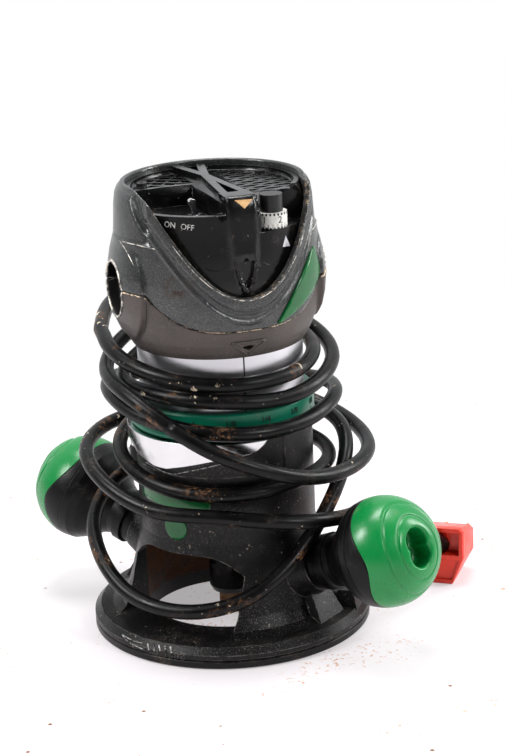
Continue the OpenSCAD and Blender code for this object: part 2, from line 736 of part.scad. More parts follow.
toggle_tilt = 14;
module switch_toggle() color(chrome) in_motor() translate(toggle_pos) rotate([0, -toggle_tilt, 0]) {
    rotate([90, 0, 0]) translate([0, 0, -2]) cylinder(r = 2.2, h = 4);
    translate([-1.4, -1.4, 0]) cube([2.8, 2.8, 9]);
    translate([0, 0, 9]) rotate([90, 0, 0]) translate([0, 0, -1.4]) cylinder(r = 2.1, h = 2.8);
}
// potentiometer under the dial, cut flat where the cover's wall curves past it
module speed_control() color([0.09, 0.09, 0.09]) in_motor() difference() {
    intersection() {
        translate([dial_pos.x, dial_pos.y, 213]) cylinder(r = 7, h = 10.3);
        translate([0, 0, 212]) cylinder(r = 45.9, h = 12);
    }
    translate([dial_pos.x, dial_pos.y, 216]) cylinder(r = 1.9, h = 10);
}
dial_teeth = 20;
module speed_dial() color([0.85, 0.85, 0.82]) in_motor() translate([dial_pos.x, dial_pos.y, 0]) {
    translate([0, 0, 217]) cylinder(r = 1.8, h = 9.5);
    difference() {
        union() {
            translate([0, 0, 225.9]) cylinder(r = 8, h = 8);
            translate([0, 0, 233]) cylinder(r = 5.9, h = 10);
        }
        for (i = [0:dial_teeth - 1]) rotate([0, 0, i * 360 / dial_teeth]) translate([8.3, 0, 225])
            cylinder(r = 0.7, h = 3.4);
    }
}

// Spindle
module armature_shaft() color(steel) {
    translate([0, 0, 39]) cylinder(r = 9.2, h = 17);
    translate([0, 0, 55]) cylinder(r = lower_bore, h = 17);
    translate([0, 0, 71]) cylinder(r = 6, h = 134);
    translate([0, 0, 204]) cylinder(r = upper_bore, h = 9);
}
module armature_core() color([0.3, 0.3, 0.32]) translate([0, 0, core_z[0]]) difference() {
    cylinder(r = pole_in - 0.6, h = core_z[1] - core_z[0]);
    translate([0, 0, -1]) cylinder(r = 6 + eps, h = 90);
    for (a = [0:30:359]) rotate([0, 0, a]) translate([20.5, 0, -1]) {
        cylinder(r = 2.2, h = 90);
        translate([0, -0.9, 0]) cube([6, 1.8, 90]);
    }
}
module armature_windings() color(copper) for (z = [core_z[0] - 8, core_z[1] + eps]) translate([0, 0, z])
    rotate_extrude() polygon([[6 + eps, 0], [15, 0], [20.5, 2.5], [22.5, 5], [22, 8 - eps], [6 + eps, 8 - eps]]);
module commutator() color(copper) translate([0, 0, 178]) difference() {
    cylinder(r = 14.6, h = 22);
    translate([0, 0, -1]) cylinder(r = 6 + eps, h = 30);
    for (a = [0:15:359]) rotate([0, 0, a]) translate([13.4, -0.3, -1]) cube([3, 0.6, 30]);
}
fan_blades = 11;
module cooling_fan() color([0.12, 0.12, 0.12]) translate([0, 0, 73]) {
    ring(38.5, 6 + eps, 1.8);
    ring(10, 6 + eps, 9);
    for (i = [0:fan_blades - 1]) rotate([0, 0, i * 360 / fan_blades]) translate([14, 0, 1])
        rotate([0, 0, 28]) cube([24, 1.4, 8]);
}
module collet() color(steel) difference() {
    translate([0, 0, 16.6]) cylinder(r = 8.6, h = 22.3);
    translate([0, 0, 10]) cylinder(r = 6.35, h = 40);
    for (a = [0:60:359]) rotate([0, 0, a]) translate([5, -0.4, 10]) cube([6, 0.8, 22]);
}
module collet_nut() color([0.08, 0.08, 0.085]) difference() {
    union() {
        translate([0, 0, 15]) cylinder(r1 = nut_r - 1.5, r2 = nut_r, h = 3);
        translate([0, 0, 18]) intersection() {
            cylinder(r = nut_r, h = 14);
            cylinder(r = nut_r * 1.09, h = 14, $fn = 6);
        }
        translate([0, 0, 32]) cylinder(r = nut_r - 0.8, h = 16);
    }
    translate([0, 0, 10]) cylinder(r = 8.7, h = 29);
    translate([0, 0, 38.8]) cylinder(r = 9.3, h = 12);
}
flute_z = 15.5;
module cutter() color([0.35, 0.27, 0.18]) {
    translate([0, 0, 15]) cylinder(r = 6.3, h = 20);
    translate([0, 0, cutter_tip]) for (s = [0, 180]) rotate([0, 0, s + 20]) {
        translate([-2.6, -2.2, 0]) cube([cutter_r + 2.2, 4.4, flute_z]);
        translate([cutter_r - 2.6, -2.3, -0.3]) cube([3, 1.6, flute_z - 2]);
    }
    translate([0, 0, cutter_tip + 1.5]) cylinder(r = 3.6, h = 14);
}

// Mains lead
lead_r = lead_d / 2;
// the winding's turns are counted from the side where the tool was looked at
view_turn = 36;
stations = [-90, -45, 0, 45, 90, 180];
// one row for each turn: height of the lead's centre at each station, and its distance from the axis
turn_z = [
    [162, 152.5, 147.5, 147.5, 151, 154],
    [140, 140.5, 139, 137, 145, 162],
    [147, 139.5, 113.5, 94, 93, 115],
    [134, 128, 122.5, 121, 126, 114],
    [100, 91, 88, 89, 90, 88],
    [57, 31.5, 32.5, 58.5, 95, 102],
    [97, 81.5, 78, 71]
];
turn_r = [
    [61.5, 53.5, 50, 50, 50, 54],
    [52.5, 51, 52, 54, 60, 62],
    [61.2, 63.2, 65, 67, 78, 70],
    [61.5, 56.3, 54.8, 55, 61, 60],
    [57, 53, 53, 53, 56.5, 58],
    [74, 71, 68, 60.5, 66, 62],
    [75.5, 64, 59.5, 71]
];
winding_end = 6 * 360 + 72;
rings_per_turn = 24;
end_r = 73;
end_z = 64;
keys = concat([for (t = [0:len(turn_z) - 1]) for (i = [0:len(turn_z[t]) - 1])
    [stations[i] + 360 * t, turn_r[t][i], turn_z[t][i]]], [[winding_end, end_r, end_z]]);
// slope of the radius and height at a key, from the keys on both sides
function rise(i) = (keys[i + 1] - keys[i]) / (keys[i + 1][0] - keys[i][0]);
function slope(i) =
    i == 0 ? rise(0)
    : i == len(keys) - 1 ? rise(i - 1)
    : let (w0 = keys[i + 1][0] - keys[i][0], w1 = keys[i][0] - keys[i - 1][0]) (rise(i - 1) * w0 + rise(i) * w1) / (w0 + w1);
function key_before(a, i = 0) = i >= len(keys) - 2 || a < keys[i + 1][0] ? i : key_before(a, i + 1);
// smooth curve through the keys
function along_keys(a) = let (
    i = key_before(a), h = keys[i + 1][0] - keys[i][0], t = (a - keys[i][0]) / h,
    t2 = t * t, t3 = t2 * t
) (2 * t3 - 3 * t2 + 1) * keys[i] + (t3 - 2 * t2 + t) * h * slope(i)
  + (3 * t2 - 2 * t3) * keys[i + 1] + (t3 - t2) * h * slope(i + 1);
function winding_point(a) = let (k = along_keys(a), b = a + view_turn) [k[1] * sin(b), -k[1] * cos(b), k[2]];
function unit(v) = v / norm(v);
winding_start = -90;
winding_count = floor((winding_end - winding_start) * rings_per_turn / 360);
winding_step = (winding_end - winding_start) / winding_count;
wound = [for (i = [0:winding_count]) winding_point(winding_start + i * winding_step)];
// both ends run straight for one diameter
head_dir = unit(wound[1] - wound[0]);
foot_dir = unit(wound[winding_count] - wound[winding_count - 1]);
winding_path = concat([wound[0] - head_dir * lead_d], wound, [wound[winding_count] + foot_dir * lead_d]);

// tube along a path: a ring of corners square to the path at each point, and flat ends that may be
// square to a given direction, so that they meet what they touch face to face
function tangent(p, i, first, last) = unit(
    i == 0 ? (is_undef(first) ? p[1] - p[0] : first)
    : i == len(p) - 1 ? (is_undef(last) ? p[i] - p[i - 1] : last)
    : unit(p[i + 1] - p[i]) + unit(p[i] - p[i - 1]));
function tube_ring(p, t, r, sides) = let (u = unit(cross(t, [0, 0, 1])), v = cross(u, t))
    [for (k = [0:sides - 1]) p + r * (cos(360 * k / sides) * u + sin(360 * k / sides) * v)];
module tube(p, r, sides, first = undef, last = undef) {
    n = len(p);
    // rings, then one centre point on each end
    points = concat(
        [for (i = [0:n - 1]) each tube_ring(p[i], tangent(p, i, first, last), r, sides)], [p[0], p[n - 1]]);
    walls = [for (i = [0:n - 2]) for (k = [0:sides - 1]) let (
        a = i * sides + k, b = i * sides + (k + 1) % sides
    ) each [[a, b, a + sides], [b, b + sides, a + sides]]];
    ends = [for (k = [0:sides - 1]) let (m = (k + 1) % sides) each [
        [n * sides, m, k],
        [n * sides + 1, (n - 1) * sides + k, (n - 1) * sides + m]
    ]];
    polyhedron(points = points, faces = concat(walls, ends), convexity = 10);
}
// least gap between neighbouring turns, measured on five points of each straight piece of the winding
sub_points = 5;
fine = [for (i = [0:winding_count - 1]) for (k = [0:sub_points - 1]) wound[i] + (wound[i + 1] - wound[i]) * k / sub_points];
per_turn = rings_per_turn * sub_points;
gap_window = 12;
function least_gap() = min([for (i = [0:len(fine) - 1]) for (t = [1:len(turn_z) - 1])
    for (j = [i + t * per_turn - gap_window:i + t * per_turn + gap_window])
        if (j >= 0 && j < len(fine)) norm(fine[i] - fine[j])]) - lead_d;
function path_length(p) = let (d = [for (i = [1:len(p) - 1]) norm(p[i] - p[i - 1])]) d * [for (x = d) 1];

// free stretches: hand-chosen points, smoothed between them
function curve_point(p, i, t) = let (
    a = p[max(i - 1, 0)], b = p[i], c = p[i + 1], d = p[min(i + 2, len(p) - 1)]
) 0.5 * (2 * b + (c - a) * t + (2 * a - 5 * b + 4 * c - d) * t * t + (3 * b - a - 3 * c + d) * t * t * t);
function smooth_path(p, n) = concat(
    [for (i = [0:len(p) - 2]) for (k = [0:n - 1]) curve_point(p, i, k / n)], [p[len(p) - 1]]);
free_sides = 10;
relief_dir = unit([-0.924, -0.097, -0.37]);
relief_base = [-29, 46.2, 187.7];
relief_in = 10;
relief_out = 22;
relief_tip = relief_base + relief_dir * relief_out;
lead_points = [
    relief_tip, [-64.1, 38, 176.3], [-74.8, 24.7, 172.6], [-77.5, 7.8, 169], [-71.4, -8.6, 166.5],
    winding_path[0]
];
boot_len = 20;
boot_end = [77.4, 96.9, 20.5];
boot_dir = unit([-0.05, 0.8, -0.6]);
boot_start = boot_end - boot_dir * boot_len;
tail_points = [
    winding_path[len(winding_path) - 1], [70.4, 46, 54.6], [74, 57.5, 48.6], [77, 69.3, 41.2], boot_start
];
module along(base, dir) translate(base) rotate([0, acos(dir.z), atan2(dir.y, dir.x)]) children();
gland_r = 8.2;
relief_r = 6.2;
snout_r = 10.2;
// snout on the back of the housing that the lead leaves through, in the motor's own frame
module snout() rotate([0, 0, -motor_turn]) along(relief_base, relief_dir) translate([0, 0, -relief_in - 10])
    cylinder(r = snout_r, h = relief_in + 13);
module snout_bore() rotate([0, 0, -motor_turn]) along(relief_base, relief_dir) {
    translate([0, 0, -relief_in]) cylinder(r = gland_r, h = relief_in + 5);
    cylinder(r = relief_r + 0.5, h = relief_out);
    translate([0, 0, -relief_in - 8]) cylinder(r = lead_r + 3, h = 10);
    translate([0, 0, -relief_in - 14]) cylinder(r = lead_r + 0.6, h = 10);
}
module cord_gland() color(gunmetal) along(relief_base, relief_dir) difference() {
    translate([0, 0, -relief_in]) cylinder(r = gland_r, h = relief_in + 5);
    translate([0, 0, -relief_in - 1]) cylinder(r = relief_r, h = relief_in + 8);
}
module strain_relief() color(rubber_black) along(relief_base, relief_dir) {
    translate([0, 0, -relief_in]) cylinder(r = relief_r, h = relief_in + 5);
    translate([0, 0, 5]) cylinder(r1 = relief_r, r2 = lead_r + 0.5, h = relief_out - 5);
}
module cord_clamp() color(steel) along(relief_base, relief_dir) translate([0, 0, -relief_in - 7]) ring(lead_r + 3, lead_r, 4);
module cord_lead() color(rubber_black) tube(smooth_path(lead_points, 3), lead_r, free_sides, relief_dir, head_dir);
module cord_winding() color(rubber_black) {
    echo(winding_least_gap_mm = least_gap(), winding_length_mm = path_length(winding_path));
    tube(winding_path, lead_r, winding_sides);
}
module cord_tail() color(rubber_black) tube(smooth_path(tail_points, 3), lead_r, free_sides, foot_dir, boot_dir);

// moulded plug
plug_pos = [80.8, 91.2, 0];
plug_turn = 17.6;
plug_half = [6.5, 13, 11];
plug_z = [0, 15.5, 31.5, 34];
plug_outline = [
    [-plug_half[0], plug_z[0]], [plug_half[0], plug_z[0]], [plug_half[1], plug_z[1]], [plug_half[1], plug_z[2]],
    [plug_half[2], plug_z[3]], [-plug_half[2], plug_z[3]], [-plug_half[1], plug_z[2]], [-plug_half[1], plug_z[1]]
];
// the body keeps its width and slopes down to the pins' face
plug_len = 28;
plug_back_z = 26;
pin_root = 12;
blade_x = 6.35;
blade_z = 17;
blade_len = 16;
earth_z = 5.1;
earth_r = 2.4;
pin_len = 17;
module at_plug() translate(plug_pos) rotate([0, 0, plug_turn]) children();
// slice of the plug's outline, standing across Y
module plug_slice(y, scale_x, scale_z) translate([0, y, 0]) rotate([90, 0, 0])
    linear_extrude(0.2) scale([scale_x, scale_z]) polygon(plug_outline);
module plug_body() color(plug_orange) difference() {
    at_plug() difference() {
        hull() {
            plug_slice(0.2, 0.95, 0.98);
            plug_slice(1.6, 1, 1);
            plug_slice(plug_len - 1, 1, plug_back_z / plug_z[3] + 0.01);
            plug_slice(plug_len, 0.96, plug_back_z / plug_z[3]);
        }
        // recess round the boot, and a shallow panel under it
        translate([-10.3, -1, 17.5]) cube([20.6, 7.5, 13.5]);
        translate([0, 1.2, 0]) rotate([90, 0, 0]) linear_extrude(5)
            polygon([[-6, 2.5], [6, 2.5], [10.2, 14.5], [-10.2, 14.5]]);
        blades(press_gap);
        earth_root(press_gap);
    }
    along(boot_start, boot_dir) cylinder(r1 = 4.6 + press_gap, r2 = 5.4 + press_gap, h = boot_len + press_gap);
}
module plug_boot() color(rubber_black) along(boot_start, boot_dir) cylinder(r1 = 4.6, r2 = 5.4, h = boot_len);
// flat blades, and the root that holds the round earth pin in the body
module blades(grow) for (x = [-1, 1]) translate([x * blade_x, plug_len - pin_root, blade_z])
    translate([-0.8 - grow, -grow, -3.2 - grow]) cube([1.6 + 2 * grow, pin_root + blade_len + grow, 6.4 + 2 * grow]);
module earth_root(grow) translate([-1.5 - grow, plug_len - pin_root - grow, earth_z - 1.5 - grow])
    cube([3 + 2 * grow, pin_root + 1, 3 + 2 * grow]);
module plug_pins() color(brass) at_plug() {
    blades(0);
    earth_root(0);
    translate([0, plug_len + press_gap, earth_z]) rotate([-90, 0, 0]) cylinder(r = earth_r, h = pin_len);
}

base_casting();
sub_base();
sub_base_screws();
clamp_bolt();
clamp_lever_pin();
handle_grip_left();
handle_grip_right();
handle_cap_left();
handle_cap_right();
handle_bolt_left();
handle_bolt_right();
depth_ring();
clamp_lever();
motor_can();
guide_pins();
nose_bell();
lower_bearing();
upper_bearing();
field_core();
field_coils();
brush_frame();
brush_holder_left();
brush_holder_right();
carbon_brush_left();
carbon_brush_right();
brush_spring_left();
brush_spring_right();
brush_cap_left();
brush_cap_right();
housing_lower();
housing_upper();
housing_screws();
inner_cover();
switch_body();
speed_control();
switch_toggle();
speed_dial();
armature_shaft();
armature_core();
armature_windings();
commutator();
cooling_fan();
collet();
collet_nut();
cutter();
cord_gland();
cord_clamp();
strain_relief();
cord_lead();
cord_winding();
cord_tail();
plug_boot();
plug_body();
plug_pins();
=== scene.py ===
import json
import math

import bmesh
import bpy
import numpy as np
from mathutils import Matrix, Vector
from mathutils.bvhtree import BVHTree


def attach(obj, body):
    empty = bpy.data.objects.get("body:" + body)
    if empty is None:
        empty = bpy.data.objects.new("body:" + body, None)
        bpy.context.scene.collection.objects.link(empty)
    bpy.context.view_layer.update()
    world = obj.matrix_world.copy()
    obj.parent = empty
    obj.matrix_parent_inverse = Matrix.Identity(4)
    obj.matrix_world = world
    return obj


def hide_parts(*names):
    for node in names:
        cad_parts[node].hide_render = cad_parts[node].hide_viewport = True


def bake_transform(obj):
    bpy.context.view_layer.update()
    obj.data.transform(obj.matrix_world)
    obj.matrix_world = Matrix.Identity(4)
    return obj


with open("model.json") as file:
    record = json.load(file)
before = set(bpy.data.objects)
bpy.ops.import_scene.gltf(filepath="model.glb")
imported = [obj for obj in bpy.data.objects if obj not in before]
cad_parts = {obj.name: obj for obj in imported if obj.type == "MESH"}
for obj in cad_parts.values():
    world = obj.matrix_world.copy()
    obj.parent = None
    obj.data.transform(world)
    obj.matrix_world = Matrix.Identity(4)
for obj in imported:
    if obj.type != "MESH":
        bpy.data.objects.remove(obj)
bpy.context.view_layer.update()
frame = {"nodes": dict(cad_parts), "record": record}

MM = 0.001
MOTOR_TURN = math.radians(54)
VIEW_TURN = 36
VIEW_RIGHT = Vector((math.cos(math.radians(VIEW_TURN)), math.sin(math.radians(VIEW_TURN)), 0))
VIEW_BACK = Vector((-VIEW_RIGHT.y, VIEW_RIGHT.x, 0))

# camera
PHOTO_SIZE = (505, 756)
LENS = 100
SENSOR = 36
CAMERA_PLACE = Vector((0.6488, -0.8645, 0.4691))
CAMERA_TARGET = Vector((0.0135, 0.0098, 0.1353))
CAMERA_ROLL = math.radians(-2.555)


def V(*p):
    """A point given in mm."""
    return Vector(p) * MM


def placed(name, data):
    """A new object in the scene."""
    obj = bpy.data.objects.new(name, data)
    bpy.context.scene.collection.objects.link(obj)
    return obj


def camera_axes():
    """The camera's right, up and forward directions."""
    ahead = (CAMERA_TARGET - CAMERA_PLACE).normalized()
    level = ahead.cross(Vector((0, 0, 1))).normalized()
    upright = level.cross(ahead)
    c, s = math.cos(CAMERA_ROLL), math.sin(CAMERA_ROLL)
    return level * c + upright * s, upright * c - level * s, ahead


def set_camera():
    right, up, ahead = camera_axes()
    data = bpy.data.cameras.new("camera")
    data.lens = LENS
    data.sensor_width = SENSOR
    data.clip_start = 0.05
    obj = placed("camera", data)
    turn = Matrix((right, up, -ahead)).transposed().to_4x4()
    obj.matrix_world = Matrix.Translation(CAMERA_PLACE) @ turn
    bpy.context.scene.camera = obj


set_camera()


# materials
def lin(r, g, b):
    """A colour written in 0 to 255 as linear values."""
    def one(c):
        c /= 255
        return c / 12.92 if c <= 0.04045 else ((c + 0.055) / 1.055) ** 2.4
    return (one(r), one(g), one(b), 1)


def add_node(tree, kind, inputs=None, **sets):
    """A node with its settings and inputs; an input given as a socket is linked."""
    n = tree.nodes.new(kind)
    for k, v in sets.items():
        setattr(n, k, v)
    for k, v in (inputs or {}).items():
        if isinstance(v, bpy.types.NodeSocket):
            tree.links.new(v, n.inputs[k])
        else:
            n.inputs[k].default_value = v
    return n


class Mat:
    """A node material: a principled shader whose colour, roughness and bump are built up in layers."""

    def __init__(self, name, colour, rough=0.5, metal=0.0, spec=0.5, edge=0.0):
        self.m = bpy.data.materials.new(name)
        self.m.use_nodes = True
        self.t = self.m.node_tree
        self.bsdf = self.t.nodes["Principled BSDF"]
        self.colour = lin(*colour)
        self.rough = rough
        self.bsdf.inputs["Metallic"].default_value = metal
        self.bsdf.inputs["Specular IOR Level"].default_value = spec
        self.m.diffuse_color = self.colour
        self.coords = self.node("ShaderNodeTexCoord").outputs["Object"]
        self.normal = self.node("ShaderNodeNewGeometry").outputs["Normal"]
        self.height = self.rounded(edge) if edge else None

    def node(self, kind, inputs=None, **sets):
        return add_node(self.t, kind, inputs, **sets)

    def rounded(self, radius):
        """A normal that rounds the edges by a small radius."""
        return self.node("ShaderNodeBevel", {"Radius": radius}, samples=4).outputs["Normal"]

    def edges(self, radius):
        """1 on edges and in corners, 0 elsewhere."""
        n = self.node("ShaderNodeVectorMath", {0: self.rounded(radius), 1: self.normal}, operation="DOT_PRODUCT")
        return self.ramp(n.outputs["Value"], 0.98, 0.88)

    def mapped(self, scale, turn=0.0):
        n = self.node("ShaderNodeMapping", {"Vector": self.coords, "Scale": scale, "Rotation": (0, 0, -turn)})
        return n.outputs["Vector"]

    def noise(self, scale, detail=4, rough=0.55, stretch=None):
        coords = self.mapped(stretch) if stretch else self.coords
        return self.node("ShaderNodeTexNoise", {
            "Vector": coords, "Scale": scale, "Detail": detail, "Roughness": rough}).outputs["Fac"]

    def cells(self, scale):
        n = self.node("ShaderNodeTexVoronoi", {"Vector": self.coords, "Scale": scale}, feature="F1")
        return n.outputs["Distance"]

    def ramp(self, source, low, high, a=0.0, b=1.0):
        return self.node("ShaderNodeMapRange", {
            "Value": source, "From Min": low, "From Max": high, "To Min": a, "To Max": b}, clamp=True).outputs["Result"]

    def maths(self, op, a, b=0.0):
        return self.node("ShaderNodeMath", {0: a, 1: b}, operation=op).outputs[0]

    def both(self, *masks):
        """The product of some masks."""
        out = masks[0]
        for m in masks[1:]:
            out = self.maths("MULTIPLY", out, m)
        return out

    def hypot(self, a, b):
        return self.maths("SQRT", self.maths("ADD", self.both(a, a), self.both(b, b)))

    def parts(self, vector):
        s = self.node("ShaderNodeSeparateXYZ", {0: vector})
        return s.outputs["X"], s.outputs["Y"], s.outputs["Z"]

    def axes(self, turn=0.0):
        """x, y and z in mm, in a frame turned about z."""
        return self.parts(self.mapped((1000, 1000, 1000), turn))

    def line(self, value, half):
        """1 where a value is within half of zero, with a soft edge."""
        return self.ramp(self.maths("ABSOLUTE", value), half, half * 0.4)

    def facing_up(self, low, high, share):
        """A share of 1 where the surface's slope is low, up to 0.9 where it is high and looks up."""
        return self.ramp(self.parts(self.normal)[2], low, high, share, 0.9)

    def mix(self, mask, colour):
        """Lay a colour over what is there, by a mask."""
        self.colour = self.node("ShaderNodeMix", {
            "A": self.colour, "B": lin(*colour), "Factor": mask}, data_type="RGBA").outputs["Result"]

    def mix_rough(self, mask, value):
        self.rough = self.node("ShaderNodeMix", {
            "A": self.rough, "B": value, "Factor": mask}, data_type="FLOAT").outputs["Result"]

    def bump(self, source, strength, distance):
        inputs = {"Height": source, "Strength": strength, "Distance": distance}
        if self.height is not None:
            inputs["Normal"] = self.height
        self.height = self.node("ShaderNodeBump", inputs).outputs["Normal"]

    def done(self):
        for name, value in (("Base Color", self.colour), ("Roughness", self.rough), ("Normal", self.height)):
            if isinstance(value, bpy.types.NodeSocket):
                self.t.links.new(value, self.bsdf.inputs[name])
            elif value is not None:
                self.bsdf.inputs[name].default_value = value
        return self.m


# layers; a noise is given as its scale, detail, roughness and stretch
def tint(m, noise, low, high, amount, colour):
    """Soft patches of a second colour."""
    m.mix(m.ramp(m.noise(*noise), low, high, 0, amount), colour)


def grain(m, noise, strength, distance):
    m.bump(m.noise(*noise), strength, distance)


def dull(m, noise, low, high, rough):
    m.mix_rough(m.ramp(m.noise(*noise), low, high), rough)


def dusted(m, colour, amount, scale=60):
    """Dust that settles in patches, more where the surface looks up."""
    patch = m.ramp(m.noise(scale, 6, 0.65), 0.62 - 0.22 * amount, 0.82)
    grains = m.ramp(m.noise(scale * 14, 3, 0.7), 0.44, 0.64)
    mask = m.both(patch, grains, m.facing_up(-0.2, 0.9, 0.3))
    m.mix(mask, colour)
    m.mix_rough(mask, 0.85)


def specked(m, colour, scale, size, amount=1.0):
    """Small separate specks."""
    spot = m.ramp(m.cells(scale), size, size * 0.6, 0.0, amount)
    m.mix(m.both(spot, m.ramp(m.noise(scale * 0.35, 2), 0.55, 0.62)), colour)


def scratched(m, colour, amount=0.5, scale=50):
    """Fine scratches in two directions."""
    for stretch in ((1, 1, 14), (9, 9, 1)):
        n = m.noise(scale * 3, 2, 0.5, stretch)
        line = m.ramp(m.maths("ABSOLUTE", m.maths("SUBTRACT", n, 0.5)), 0.006, 0.0, 0, amount)
        m.mix(m.both(line, m.ramp(m.noise(scale * 0.5, 3), 0.56, 0.66)), colour)


def worn_edges(m, colour, radius, amount=0.7, scale=160):
    """Paint rubbed off along edges, in stretches."""
    rubbed = m.ramp(m.noise(scale, 5, 0.7), 0.42, 0.6, 0, amount)
    m.mix(m.both(m.edges(radius), rubbed), colour)


def pale_grain(m, colour):
    """Fine pale dust held by the grain of the casting."""
    grains = m.ramp(m.noise(1500, 2, 0.6), 0.6, 0.68)
    m.mix(m.both(grains, m.ramp(m.noise(30, 4), 0.36, 0.6), m.facing_up(-0.3, 0.8, 0.35)), colour)


def caked_window(m, colour):
    """Wood dust caked on the inside of the chip window."""
    x, y, z = m.axes()
    inside = m.both(m.ramp(m.hypot(x, y), 46.2, 45.2), m.ramp(z, 62, 50), m.ramp(z, 7, 10))
    caked = m.both(inside, m.ramp(m.noise(90, 6, 0.7), 0.3, 0.5))
    m.mix(caked, colour)
    m.mix_rough(caked, 0.9)


def index_groove(m, colour):
    """The index line cut down the front of the can."""
    x, y, _ = m.axes(MOTOR_TURN)
    groove = m.both(m.line(m.maths("SUBTRACT", x, INDEX_X), 0.55), m.ramp(y, -40, -42))
    m.mix(groove, colour)
    m.mix_rough(groove, 0.7)


def housing_lines(m, colour):
    """Worn lines along the seam and the opening's edge."""
    x, y, z = m.axes(MOTOR_TURN)
    xx = m.both(x, x)
    front = m.ramp(y, -4, -8)
    seam = m.maths("ADD", SEAM_LOW, m.both(SEAM_RISE, m.maths("POWER", m.maths("DIVIDE", xx, SEAM_HALF ** 2), 2)))
    edge = m.maths("ADD", OPENING_LOW, m.both(OPENING_BEND, xx))
    chips = m.ramp(m.noise(420, 4, 0.75), 0.53, 0.6)
    stretches = m.ramp(m.noise(45, 3), 0.42, 0.55)
    for value, half in ((seam, 0.6), (edge, 0.75)):
        m.mix(m.both(m.line(m.maths("SUBTRACT", z, value), half), front, chips, stretches), colour)


def left_smears(m, colour):
    """Smears on the left panel."""
    x, _, z = m.axes(MOTOR_TURN)
    smear = m.both(m.ramp(m.noise(70, 5, 0.7), 0.5, 0.62), m.line(m.maths("ADD", x, 33), 9),
                   m.line(m.maths("SUBTRACT", z, 201), 7))
    m.mix(smear, colour)
    m.mix_rough(smear, 0.8)


def painted_port_shade(m, colour):
    """Painted shade: the inside of the brush ports darkened to near black."""
    x, y, z = m.axes(MOTOR_TURN)
    reach = m.hypot(y, m.maths("SUBTRACT", z, BRUSH_Z))
    m.mix(m.both(m.ramp(reach, PORT_RIM, PORT_RIM - 0.5), m.ramp(m.maths("ABSOLUTE", x), 36, 38)), colour)


def black_barrel(m, colour):
    """The dial's barrel above its white ring."""
    m.mix(m.ramp(m.axes()[2], DIAL_RING_TOP + 0.02, DIAL_RING_TOP + 0.06), colour)


def splashed(m, paint, wood):
    """Splashes of dried paint, and wood dust rubbed in."""
    m.mix(m.both(m.ramp(m.noise(210, 4, 0.6), 0.63, 0.66), m.ramp(m.noise(24, 2), 0.56, 0.62)), paint)
    rubbed = m.both(m.ramp(m.noise(320, 5, 0.75), 0.5, 0.62),
                    m.ramp(m.noise(26, 3, stretch=(1, 1, 1.3)), 0.55, 0.64))
    m.mix(rubbed, wood)
    m.mix_rough(rubbed, 0.85)


# places on the motor in its own frame, in mm
INDEX_X = -1.2
SEAM_LOW, SEAM_RISE, SEAM_HALF = 176, 19, 48
OPENING_LOW = 193.5
OPENING_BEND = 0.0255
DIAL_RING_TOP = 233.9
BRUSH_Z = 193
PORT_RIM = 14.9

